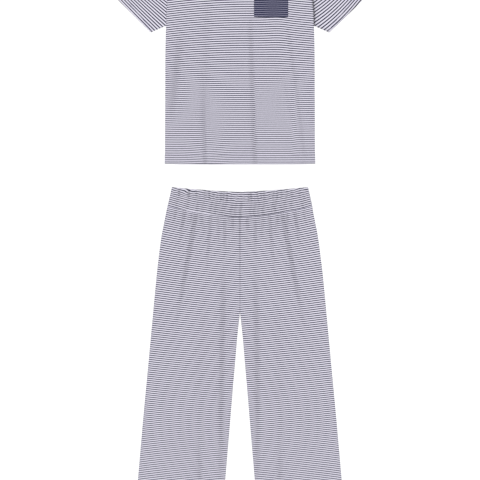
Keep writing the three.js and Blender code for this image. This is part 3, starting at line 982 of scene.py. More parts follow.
class Tee:
    """The short-sleeved tee: two body panels, two sleeves, a neckband in two halves and a pocket."""

    def __init__(self, room: SewingRoom, pattern: TeePattern | None = None) -> None:
        """Keeps the pattern and the room that the pieces go to."""
        self.room = room
        self.pattern = pattern or TeePattern()
        top_fold = np.subtract(self.pattern.sleeve_hem_top, self.pattern.shoulder_tip)
        self.sleeve_length = float(np.hypot(*top_fold))

    def hem(self, x: Array) -> Array:
        """Height of the hem's foot, which lifts at its corners."""
        p = self.pattern
        return p.hem_y + p.corner_lift * (np.abs(x) / p.side.value[0]) ** 6

    def neckline_front(self, share: Array) -> Array:
        """Drop of the front neckline, a quarter ellipse each side of the middle."""
        return self.pattern.neck_drop_front * np.sqrt(np.clip(1 - share**2, 0, 1))

    def neckline_back(self, share: Array) -> Array:
        """Drop of the back neckline, a flatter curve with an exponent of three."""
        return self.pattern.neck_drop_back * np.clip(1 - share**3, 0, 1) ** (1 / 3)

    def top_edge(self, x: Array, neckline: Callable[[Array], Array]) -> Array:
        """Height of the shoulder line, or of the neckline that drops from it."""
        (tip_x, tip_y), (neck_x, neck_y) = self.pattern.shoulder_tip, self.pattern.neck_point
        across = np.abs(x)
        shoulder = lerp(neck_y, tip_y, np.clip((across - neck_x) / (tip_x - neck_x), 0, 1))
        return np.where(across < neck_x, neck_y - neckline(np.clip(across / neck_x, 0, 1)), shoulder)

    def air(self, x: Array, y: Array) -> Array:
        """Air under the front: the uneven loft between its edges, less the folds' troughs.

        Args:
            x: Points' X.
            y: Their Y.

        Returns:
            Height of the air at each point.
        """
        p = self.pattern
        half = p.side(y)
        beside = smooth(p.underarm_y - 20, p.underarm_y + 40, y)
        near_side = lerp(JERSEY.risen(half - np.abs(x)), p.armhole_air, beside)
        top = self.top_edge(x / half * p.shoulder_tip[0], self.neckline_front)
        near_top = JERSEY.risen(top - y)
        raised = p.tuck_raise * beside * smooth(p.tuck_reach, 0, half - x)
        lifted = (p.loft + ripples(p.waves, x, y) + raised) * near_side * near_top
        return JERSEY.air(lifted - troughs(p.folds, x, y) * near_side)

    def front_top(self, x: Array, y: Array) -> Array:
        """Height of the front's outer face."""
        above = y - self.hem(x)
        layers = JERSEY.layers(above)
        return 2 * layers * JERSEY.wall + JERSEY.gap + self.air(x, y) - JERSEY.sewn(above)

    def grain(self, x: Array, y: Array) -> tuple[Array, Array]:
        """Grain of the body.

        The stripes arch at the chest and lie straight at the hem. They step a little across each fold
        on the lower half, and two patches of them are slipped.

        Args:
            x: Points' X.
            y: Their Y.

        Returns:
            Distance along the stripes, and number of stripes passed.
        """
        p = self.pattern
        arched = p.arch * smooth(p.hem_y, p.arch_top, y) * (x - p.arch_peak) ** 2
        low = smooth(*p.slip_head, y) * smooth(p.hem_y, p.slip_foot, y)
        stepped = sum(by * smooth(start, end, x) for start, end, by in p.fold_slips)
        slipped = sum(slip.at(x, y) for slip in p.slips)
        return x, p.first_stripe + p.pitch.stripes(y + arched + low * stepped + slipped)

    def _grid(self, neckline: Callable[[Array], Array],
              cell: tuple[float, float]) -> tuple[Array, Array, Array]:
        """Points of a body panel, with the distance of each from the panel's nearest edge.

        Columns are even along each shoulder and go round the neck by its angle. Points draw a little
        closer to the top edge than to the others.

        Args:
            neckline: Drop of the panel's neckline.
            cell: Usual width and length of a cell.

        Returns:
            X, Y and the distance from the nearest edge.
        """
        p = self.pattern
        step, run = cell
        top_closeness = 0.8
        tip, neck = p.shoulder_tip[0], p.neck_point[0]
        shoulder = tip - stations(tip - neck, step)
        angle = np.linspace(0, np.pi, int(np.pi * neck / step))
        column = np.concatenate([-shoulder, -neck * np.cos(angle)[1:-1], shoulder[::-1]]) / tip
        foot = self.hem(column * p.side.value[0])[None, :]
        head = self.top_edge(column * tip, neckline)[None, :]
        y = JERSEY.panel_rows(foot, head, p.neck_point[1] - p.hem_y, run)
        half = p.side(y)
        x = column[None, :] * half
        edge = np.minimum.reduce([half - np.abs(x), y - foot, (head - y) * top_closeness])
        return x, y, edge

    def make_front(self) -> None:
        """The front: its outer face and one wall under it, closed in an edge that rolls to the seam."""
        p = self.pattern
        x, y, edge = self._grid(self.neckline_front, p.front_cell)
        wall = JERSEY.layers(y - self.hem(x)) * JERSEY.wall
        faces = JERSEY.front_faces(self.front_top(x, y), wall, edge)
        # Painted shade: a dark line along the left armhole, and painted shade in the folds' troughs and
        # at the turned edges.
        high = smooth(*p.tuck_turn, y)
        armhole_painted_shade = lerp(*p.tuck_shade, high) * bell(p.side(y) - x, lerp(*p.tuck_shade_width, high))
        painted_shading = JERSEY.painted_shading_map(troughs(p.folds, x, y), edge) + armhole_painted_shade * self.at_armhole(y)
        shell = Shell.of_layer(x, y, faces, self.grain(x, y), painted_shading)
        self.room.cloth("tee_front", shell, (0.452, 0.653), ["tee_back"], area=0.27)

    def make_back(self) -> None:
        """The back, flat on the surface, with the same hem."""
        x, y, edge = self._grid(self.neckline_back, self.pattern.back_cell)
        wall = JERSEY.layers(y - self.hem(x)) * JERSEY.wall
        shell = Shell.of_layer(x, y, JERSEY.flat_faces(wall, edge, JERSEY.edge), self.grain(x, y))
        self.room.cloth("tee_back", shell, (0.452, 0.653), area=0.28)

    def _sleeve_place(self, u: Array, w: Array) -> tuple[Array, Array]:
        """Points of the flat sleeve: a patch between armhole, top fold, hem and underarm seam.

        Args:
            u: Share of the way from the armhole to the hem.
            w: Share of the way from the top fold to the underarm.

        Returns:
            X and Y on the wearer's left.
        """
        p = self.pattern

        def armhole(share: Array) -> Array:
            """Points of the armhole at each share of the way down it."""
            y = lerp(p.shoulder_tip[1], p.underarm_y, share)
            return np.stack([p.side(y) + JERSEY.seam_gap, y], axis=-1)

        top, foot, bend = (np.array(q) for q in (p.sleeve_hem_top, p.sleeve_hem_foot, p.sleeve_top_bend))
        shoulder, underarm = armhole(np.array(0.0)), armhole(np.array(1.0))
        u, w = u[..., None], w[..., None]
        fold = (1 - u) ** 2 * shoulder + 2 * u * (1 - u) * bend + u**2 * top
        seam = lerp(underarm, foot, u)
        hem = lerp(top, foot, w)
        corners = lerp(lerp(shoulder, top, u), seam, w)
        place = lerp(armhole(w[..., 0]), hem, u) + lerp(fold, seam, w) - corners
        return place[..., 0], place[..., 1]

    def _sleeve_span(self, u: Array) -> Array:
        """Width of the flat sleeve from fold to underarm."""
        fold = np.array(self._sleeve_place(u, np.zeros_like(u)))
        seam = np.array(self._sleeve_place(u, np.ones_like(u)))
        return np.linalg.norm(fold - seam, axis=0)

    def sleeve_top(self, side: Side, u: Array, w: Array, wall: Array) -> Array:
        """Height of the sleeve's upper face, which dips beside the armhole, most on the wearer's left.

        Args:
            side: The wearer's side.
            u: Share of the way from the armhole to the hem.
            w: Share of the way from the top fold to the underarm.
            wall: Thickness of each of its two layers.

        Returns:
            Height of each point.
        """
        p = self.pattern
        span = self._sleeve_span(u)
        x, y = self._sleeve_place(u, w)
        loft = p.sleeve_loft * JERSEY.risen(np.minimum(w, 1 - w) * span)
        uneven = ripples([p.sleeve_wave], side.value * x, y)
        dip = p.armhole_dip * bell(x - p.side(y), p.armhole_width)
        if side is Side.LEFT:
            dip = dip + p.tuck_dip * bell(x - p.side(y), p.tuck_width) * self.at_armhole(y)
        below_fold = JERSEY.risen(JERSEY.reach * w)
        air = JERSEY.air(loft + uneven * np.minimum(1, loft)) - dip * below_fold
        return 2 * wall + JERSEY.gap + np.maximum(air, 0.0)

    def at_armhole(self, y: Array) -> Array:
        """Share of the tuck beside the left armhole, which fades towards the shoulder."""
        p = self.pattern
        return smooth(p.shoulder_tip[1], p.tuck_top, y) * smooth(*p.tuck_foot, y)

    def sleeve_painted_shading(self, side: Side, outer: Array, ends: Array, upper: int) -> Array:
        """Painted shade on a sleeve: at its ends, and on the left one by its armhole and seam.

        Args:
            side: The wearer's side.
            outer: Rings of points on the outside.
            ends: Distance of each ring from the nearer end.
            upper: Number of points of a ring on its upper layer.

        Returns:
            The painted shade at each point.
        """
        p, shade = self.pattern, self.pattern.sleeve_shade
        x, y = side.value * outer[..., 0], outer[..., 1]
        if side is Side.RIGHT:
            # Painted shade: the right sleeve gets it only near its ends.
            return shade.hem * (1 - smooth(0.0, shade.hem_reach, ends)) + 0 * x
        inside = x - p.side(y)
        # Painted shade: a dark line beside the left armhole, with a wider faint one round it.
        near = lerp(*shade.armhole_painted_shade, smooth(*p.tuck_turn, y)) * bell(inside, p.tuck_width)
        armhole = (near + shade.beside * bell(inside, shade.beside_reach)) * self.at_armhole(y)
        foot, tip = np.array((p.side(p.underarm_y), p.underarm_y)), np.array(p.sleeve_hem_foot)
        along = (tip - foot) / np.linalg.norm(tip - foot)
        from_seam = np.abs((x - foot[0]) * along[1] - (y - foot[1]) * along[0])
        lower = np.arange(x.shape[1])[None, :] >= upper
        # Painted shade near the open ends, darker on the lower layer.
        mouth = np.where(lower, shade.mouth_under, shade.mouth) * (1 - smooth(*shade.mouth_reach, ends))
        return np.maximum(armhole, shade.seam * bell(from_seam, shade.seam_reach)) + mouth

    def make_sleeve(self, side: Side) -> None:
        """A sleeve: one piece, folded along its top and lying flat, with a doubled hem.

        Args:
            side: The wearer's side.
        """
        p, length = self.pattern, self.sleeve_length
        rows = [length - p.sleeve_hem_turn + JERSEY.hem_turn - row for row in JERSEY.hem_rows]
        u, w = np.broadcast_arrays((stations(length, p.sleeve_cell, rows) / length)[:, None],
                                   (stations(p.sleeve_width, p.sleeve_cell) / p.sleeve_width)[None, :])
        near_hem = (u - 1) * length + p.sleeve_hem_turn
        wall = JERSEY.wall * (1 + smooth(0, JERSEY.hem_step, near_hem))
        sewn = sum(bell(u * length - row, JERSEY.stitch_width) for row in rows) * JERSEY.stitch_dip
        span = self._sleeve_span(u)
        mid = JERSEY.wall + 0.5 * JERSEY.gap
        under_slip = p.under_slip_left if side is Side.LEFT else p.under_slip_right
        under_slip = under_slip / length * smooth(0.8, 1.0, u)

        def face(inset: Array, upper: bool) -> Array:
            """Points of the upper or the lower layer, a distance inside the sleeve's outline."""
            place = lerp(inset / span, 1 - inset / span, w)
            past = 0.0 if upper else under_slip * np.sqrt(np.sin(np.pi * place))
            x, y = self._sleeve_place(u + past, place)
            edge = np.minimum(place, 1 - place) * span - inset
            top = self.sleeve_top(side, u, place, wall) - inset - sewn
            z = lerp(mid, top if upper else inset, rounded(edge, p.sleeve_fold_round))
            return np.stack([side.value * x, y, z], axis=-1)

        def loop(inset: Array) -> Array:
            """Rings of points round both layers."""
            return np.concatenate([face(inset, True), face(inset, False)[:, -2:0:-1]], axis=1)

        outer, inner = loop(np.zeros_like(wall)), loop(wall)
        ends = np.minimum(u, 1 - u)[:, :1, None] * length
        middle = 0.5 * (outer + inner)
        open_share = rounded(ends, p.sleeve_end_round)
        outer, inner = lerp(middle, outer, open_share), lerp(middle, inner, open_share)
        painted_shading = self.sleeve_painted_shading(side, outer, ends[..., 0], w.shape[1])
        grain = np.stack(self.sleeve_grain(side, side.value * outer[..., 0], outer[..., 1]), axis=-1)
        shell = Shell.of_tube(outer, inner, grain, painted_shading)
        self.room.cloth(f"sleeve_{side.word}", shell, (0.40, 0.21), ["tee_back"], area=0.041)

    def sleeve_grain(self, side: Side, x: Array, y: Array) -> tuple[Array, Array]:
        """Grain of a sleeve: stripes run with its hem, fan out a little towards the armhole and bow.

        Args:
            side: The wearer's side.
            x: Points' X on the wearer's left.
            y: Their Y.

        Returns:
            Distance along the stripes, and number of stripes passed.
        """
        p = self.pattern
        stripes = p.stripes_left if side is Side.LEFT else p.stripes_right
        hem = np.subtract(p.sleeve_hem_top, p.sleeve_hem_foot)
        along = hem / np.linalg.norm(hem)
        offset = np.stack([x, y], axis=-1) - np.array(p.sleeve_hem_foot)
        run = offset @ along
        beyond = run - stripes.about
        inward = offset @ np.array([-along[1], along[0]])
        straight = stripes.first + inward / stripes.pitch * (1 + stripes.fan * beyond)
        return run, straight + stripes.tilt * run + stripes.bow * beyond**2

    def make_neckband_front(self) -> None:
        """The front half of the neckband: an arc that follows the neckline, crowned along its middle."""
        p = self.pattern
        first_stripe, mean_radius, arc_length = 3.2, 80.0, 280.0
        angle = np.linspace(0, np.pi, 90)[None, :]
        inset = stations(p.neckband_width, 2.0, (p.stitch_inset,))[:, None]
        reach = np.array([p.neck_point[0], p.neck_drop_front]) - JERSEY.seam_gap
        x = -(reach[0] - inset) * np.cos(angle)
        y = p.neck_point[1] - (reach[1] - inset) * np.sin(angle)
        ends = np.minimum(angle, np.pi - angle) / np.pi
        under = lerp(p.neckband, JERSEY.wall, smooth(0.1, 0.35, ends)) + JERSEY.gap
        edge = np.minimum(inset, p.neckband_width - inset)
        sewn = p.band_stitch_pull * bell(inset - p.stitch_inset, p.stitch_width)
        crown = p.band_crown * np.sin(np.pi * inset / p.neckband_width) - sewn
        middle = under + 0.5 * p.neckband
        half = 0.5 * p.neckband * rounded(np.minimum(edge, ends * arc_length), p.band_round)
        top, bottom = middle + half + crown * rounded(edge, p.band_round), middle - half
        grain = (angle * mean_radius, first_stripe + inset / p.band_stripe + 0 * angle)
        shell = Shell.of_layer(x, y, (top + 0 * x, bottom + 0 * x), grain)
        self.room.cloth("neckband_front", shell, (0.289, 0.02), ["tee_back"], area=0.0057)
        row, outside = 3, 1.06
        drop = (y[row] - p.neck_point[1]) * outside
        self.neckband_line = on_surface(x[row] * outside, p.neck_point[1] + drop, self.front_top)

    def make_neckband_back(self) -> None:
        """The back half of the neckband, between the back neckline and a level edge above it."""
        p = self.pattern
        first_stripe, stripes, mean_radius, lift = 1.2, 3.2, 60.0, 2.0
        angle = np.linspace(0, np.pi, 70)[None, :]
        t = (stations(p.neckband_width, 2.0) / p.neckband_width)[:, None]
        share = -np.cos(angle)
        seam_y = p.neck_point[1] + JERSEY.seam_gap - self.neckline_back(np.abs(share))
        x = share * lerp(p.neck_point[0] - JERSEY.seam_gap, p.neck_point[0] - p.neckband_width, t)
        y = lerp(seam_y, p.neck_point[1] + lift, t)
        edge = np.minimum(t, 1 - t) * p.neckband_width + 0 * x
        faces = JERSEY.flat_faces(p.neckband, edge, p.band_round)
        shell = Shell.of_layer(x, y, faces, (angle * mean_radius, first_stripe + t * stripes))
        self.room.cloth("neckband_back", shell, (0.19, 0.021), area=0.0036)

    def pocket_top(self, x: Array, y: Array) -> Array:
        """Height of the pocket's face: the tee's own, one layer up, two along its top hem."""
        p = self.pattern
        head = p.pocket_centre[1] + 0.5 * p.pocket_size[1]
        layers = 1 + smooth(p.pocket_hem + 2, p.pocket_hem - 1, head - y)
        return self.front_top(x, y) + JERSEY.gap + JERSEY.wall * layers

    def pocket_lift(self, across: Array, up: Array) -> Array:
        """Lift of the pocket's foot, which slopes and turns up a little at its corners.

        Args:
            across: Share of the pocket's width, from the wearer's right.
            up: Share of its height, from its foot.

        Returns:
            Lift of each point in millimetres.
        """
        p = self.pattern
        sloped = p.pocket_slope * (1 - across) * (1 - up) ** 4
        return sloped + p.pocket_corner * np.abs(2 * across - 1) ** 10 * (1 - up) ** 12

    def make_pocket(self) -> None:
        """The patch pocket, on the front's own surface, with square corners and a sewn edge."""
        p = self.pattern
        (cx, cy), (width, height) = p.pocket_centre, p.pocket_size
        across = stations(width, p.pocket_cell, (p.stitch_inset, width - p.stitch_inset))[None, :]
        up = stations(height, p.pocket_cell, (p.stitch_inset, height - p.pocket_hem))[:, None]
        across, up = across + 0 * up, up + 0 * across
        x = cx - 0.5 * width + across
        y = cy - 0.5 * height + up + self.pocket_lift(across / width, up / height)
        sewn_edge = np.minimum.reduce([across, width - across, up])
        closed = rounded(np.minimum(sewn_edge, height - up), p.pocket_round)
        face = self.pocket_top(x, y)
        base = self.front_top(x, y) + 0.1
        from_row = np.abs(sewn_edge - p.stitch_inset)
        from_hem_row = np.abs(height - p.pocket_hem - up)
        sewn = p.stitch_pull * bell(np.minimum(from_row, from_hem_row), p.stitch_width)
        middle, half = 0.5 * (face + base), 0.5 * (face - base) * closed
        bow = p.pocket_bow * bell(x - cx - p.pocket_bow_middle, p.pocket_bow_reach)
        stripes = (y - cy + bow + p.pocket_tilt * (x - cx)) / p.pocket_pitch
        shell = Shell.of_layer(x, y, (middle + half - sewn * closed, middle - half), (x, stripes))
        self.room.cloth("pocket", shell, (0.104, 0.102), ["tee_front"], slot=Slot.POCKET)

    def sew(self) -> None:
        """Rows of stitches on the hems, round the pocket and beside the neckband."""
        p = self.pattern
        finishes = self.room.finishes
        x = np.linspace(-1, 1, 300) * (p.side.value[0] - JERSEY.row_inset)
        rows = [on_surface(x, self.hem(x) + above, self.front_top) for above in JERSEY.hem_rows]
        self.room.stitches("tee_hem_stitches", rows, finishes.white_thread)
        rows = []
        w = np.linspace(0.015, 0.985, 100)
        for side in Side:
            for row in JERSEY.hem_rows:
                u = np.full_like(w, 1 - (p.sleeve_hem_turn - JERSEY.hem_turn + row) / self.sleeve_length)
                x, y = self._sleeve_place(u, w)
                wall = np.full_like(w, 2 * JERSEY.wall)
                z = self.sleeve_top(side, u, w, wall) - JERSEY.stitch_dip
                rows.append(np.stack([side.value * x, y, z], axis=-1))
        self.room.stitches("sleeve_hem_stitches", rows, finishes.white_thread)
        self.room.stitches("pocket_stitches", self.pocket_rows(), finishes.navy_thread, radius=0.24)
        self.room.stitches("neckline_stitches", [self.neckband_line], finishes.white_thread)

    def pocket_rows(self) -> list[Array]:
        """Lines of stitching on the pocket: round its sides and foot, and along its hem."""
        p = self.pattern
        count, sunk, below_head = 60, 0.35, 1.0
        (cx, cy), (width, height) = p.pocket_centre, p.pocket_size
        left, right = cx - width / 2 + p.stitch_inset, cx + width / 2 - p.stitch_inset
        low, high = cy - height / 2 + p.stitch_inset, cy + height / 2 - below_head
        t = np.linspace(0, 1, count)
        edge_x = np.concatenate([np.full(count, left), lerp(left, right, t), np.full(count, right)])
        foot = low + self.pocket_lift(t, np.zeros(count))
        edge_y = np.concatenate([lerp(high, foot[0], t), foot, lerp(foot[-1], high, t)])
        hem_y = np.full(count, cy + height / 2 - p.pocket_hem)

        def dipped(x: Array, y: Array) -> Array:
            """Height of stitches that are pulled into the pocket's face."""
            return self.pocket_top(x, y) - sunk

        return [on_surface(edge_x, edge_y, dipped), on_surface(lerp(left, right, t), hem_y, dipped)]

    def make(self) -> None:
        """Makes every piece of the tee and sews it."""
        self.make_back()
        self.make_front()
        for side in Side:
            self.make_sleeve(side)
        self.make_neckband_back()
        self.make_neckband_front()
        self.make_pocket()
        self.sew()


# Trousers


@dataclass(frozen=True)
class BandEdge:
    """An edge of the waistband, which is lowest at the middle."""

    centre_y: float
    side_y: float
    half: float
    power: float

    def __call__(self, x: Array) -> Array:
        """Height of the edge at each place across."""
        return lerp(self.centre_y, self.side_y, (np.abs(x) / self.half) ** self.power)


@dataclass(frozen=True)
class BandDepth:
    """How deep the waistband's front is drawn in, in millimetres, and shares of that depth."""

    sway: float = 7.0
    sway_from: float = 0.8
    tight: float = 1.5
    loose: float = 0.9
    at_top: float = 0.45
    pucker: float = 0.75
    pucker_change: float = 0.35
    pucker_length: float = 8.6
    held: float = 0.6
    row: float = 0.02
    stitched: float = 0.9
    swell_below: float = 0.5
    swell_above: float = 0.7
    bulge: float = 0.35
    bulge_length: float = 16.0


@dataclass(frozen=True)
class BandShade:
    """Painted shade on the waistband's front, in its puckers, at its edges and all over, and a painted
    highlight along the seam, with reaches in millimetres.
    """

    pucker: float = 0.36
    most: float = 0.8
    edge: float = 0.15
    edge_reach: float = 3.0
    even: tuple[float, float] = (0.17, 0.14)
    seam_light: float = 0.4
    seam_light_reach: float = 3.0


@dataclass(frozen=True)
class TrouserPattern:
    """Sizes of the trousers, in millimetres, and how their cloth lies."""

    hem_y: float = -882.0
    crotch_y: float = -215.0
    seam: BandEdge = BandEdge(69.0, 102.0, 217.0, 1.6)
    top: BandEdge = BandEdge(144.0, 158.5, 204.0, 1.4)
    channel: float = 0.58
    pressed: float = 10.0
    band: float = 3.2
    band_cell: float = 2.2
    band_back_cell: float = 5.0
    band_round: float = 1.8
    band_back_round: float = 1.6
    loft: float = 3.4
    waves: tuple[Wave, ...] = ((0.22, 150.0, 0.9), (0.1, 57.0, 2.2))
    front_cell: tuple[float, float] = (1.9, 6.5)
    back_cell: tuple[float, float] = (8.0, 10.0)
    gather_loft: float = 1.0
    gather_reach: float = 75.0
    # Painted shade under the gathers, less of it near the waist seam, a painted highlight along that
    # seam towards the sides, and a painted dark line by the centre seam.
    gather_shade: float = 0.14
    gather_shade_reach: float = 60.0
    seam_clear: float = 0.35
    seam_clear_reach: float = 11.0
    seam_light: float = 0.55
    seam_light_reach: float = 3.4
    light_from: tuple[float, float] = (70.0, 140.0)
    centre_seam: tuple[float, float] = (1.0, 1.9)
    centre_seam_width: float = 3.2
    centre_shade: float = 0.4
    centre_shade_width: float = 2.4
    inner: Curve = Curve(
        at=(-882, -720, -540, -444, -348, -294, -246, -215),
        value=(58.5, 44.5, 29.4, 21.5, 13.2, 8.6, 3.6, 0.03),
    )
    outer_at: tuple[float, ...] = (-882, -708, -522, -378, -234, -138, -90, -42, 6, 54, 84, 104)
    outer_right: tuple[float, ...] = (
        320, 305.4, 289.2, 275.6, 262.2, 253.2, 248.4, 242.7, 236.4, 227.2, 221.3, 217,
    )
    outer_left: tuple[float, ...] = (
        319.5, 304.2, 287.8, 274.2, 260.8, 251.9, 246.9, 240.9, 234.6, 225.6, 219.6, 216.6,
    )
    folds_right: tuple[Fold, ...] = (
        Fold((-192, 98), (-203, 30), 2.6, 4.0, fade_out=0.8),
        Fold((-165, 96), (-190, -60), 3.8, 4.4, fade_out=0.9),
        Fold((-143, 92), (-148, 36), 3.4, 3.4, fade_out=0.7),
        Fold((-130, 88), (-206, -330), 5.0, 5.6, fade_out=0.75),
        Fold((-119, 86), (-103, -4), 3.0, 3.8, fade_out=0.8),
        Fold((-87, 84), (-104, -150), 3.2, 4.4, fade_out=0.9),
        Fold((-67, 80), (-62, -40), 2.3, 3.6, fade_out=0.7),
        Fold((-57, 78), (-57, 44), 1.8, 3.0, fade_out=0.7),
        Fold((-46, 78), (-46, -70), 3.2, 3.8, fade_in=0.2, fade_out=0.7),
        Fold((-33, 76), (-34, 36), 2.4, 3.4, fade_out=0.7),
        Fold((-22, 76), (-22, 4), 2.9, 3.6, fade_in=0.1, fade_out=0.7),
        Fold((-47, -20), (-58, -850), 3.2, 8.0, bow=-3, fade_in=0.25, fade_out=0.4),
        Fold((-104, -150), (-118, -882), 0.6, 11, bow=-10, fade_in=0.1),
        Fold((-125, -540), (-116, -882), 2.2, 5.5, fade_in=0.5),
    )
    folds_left: tuple[Fold, ...] = (
        Fold((192, 98), (198, 34), 2.4, 4.0, fade_out=0.8),
        Fold((163, 96), (184, -50), 4.0, 4.4, fade_out=0.9),
        Fold((140, 92), (142, 20), 3.8, 3.4, fade_out=0.7),
        Fold((125, 88), (206, -330), 5.0, 5.6, fade_out=0.75),
        Fold((116, 86), (103, -2), 3.0, 3.8, fade_out=0.8),
        Fold((87, 84), (108, -160), 3.0, 4.4, fade_out=0.9),
        Fold((69, 80), (64, -20), 2.3, 3.6, fade_out=0.7),
        Fold((57, 78), (55, 36), 1.8, 3.0, fade_out=0.7),
        Fold((46, 78), (45, -70), 3.2, 3.8, fade_in=0.2, fade_out=0.7),
        Fold((32, 76), (33, 46), 1.6, 3.0, fade_out=0.7),
        Fold((22, 76), (22, 8), 3.2, 3.6, fade_out=0.7),
        Fold((44, -20), (50, -850), 3.0, 8.0, bow=4, fade_in=0.25, fade_out=0.4),
        Fold((108, -160), (112, -882), 0.6, 11, bow=12, fade_in=0.1),
        Fold((122, -540), (114, -882), 1.7, 6.5, fade_in=0.5),
    )
    channel_crease_width: float = 2.7
    channel_creases: tuple[tuple[float, float], ...] = (
        (-182, 1.5), (-154, 2.0), (-130, 0.7), (-106, 1.1), (-92, 1.3), (-79, 0.9), (-68, 0.6),
        (-57, 1.3), (-49, 1.2), (-39, 1.4), (-26, 0.6), (4, 0.4), (26, 1.2), (33, 1.3), (53, 1.0),
        (63, 0.6), (72, 1.1), (88, 0.6), (100, 1.1), (112, 1.2), (124, 0.9), (140, 0.9), (154, 0.8),
        (178, 0.5),
    )
    lower_crease_width: float = 3.6
    lower_creases: tuple[tuple[float, float], ...] = (
        (-190, 0.8), (-158, 1.1), (-128, 1.1), (-112, 0.9), (-86, 0.9), (-74, 1.1), (-62, 0.6),
        (-52, 1.0), (-44, 0.9), (-26, 1.3), (-14, 1.2), (2, 2.0), (32, 1.0), (44, 1.5), (56, 1.0),
        (70, 1.3), (98, 0.9), (106, 1.6), (124, 0.6), (134, 1.1), (154, 0.9), (190, 0.8),
    )
    pitch: Curve = Curve(
        at=(-720, -630, -510, -375, -150, 75),
        value=(5.59, 5.79, 6.133, 6.347, 6.382, 6.492),
    )
    chevron: Curve = Curve(at=(-882, -400, -100, 80), value=(0.0932, 0.1017, 0.1002, 0.0985))
    chevron_bend: Curve = Curve(at=(-882, -400, -100, 80), value=(0.000028, 0.000015, 0.00021, 0.0006))
    seam_reach: float = 35.7
    first_stripe: float = 0.656
    drawn_up: float = 0.3
    drawn_up_reach: float = 4.0
    tilt: float = -0.0018
    band_pitch: float = 6.448
    band_first: float = 0.173
    band_back_first: float = 30.0
    band_tilt: float = 0.0127
    band_lean: tuple[float, float] = (1.129, 1.092)
    band_waves: tuple[Wave, ...] = ((1.08, 90.0, 1.0),)
    channel_waves: tuple[Wave, ...] = ((1.13, 26.0, 0.7), (0.49, 12.0, 2.9))
    band_slip: Slip = Slip(4.5, (-152.0, 141.0), (24.0, 10.0))
    band_shade: BandShade = BandShade()


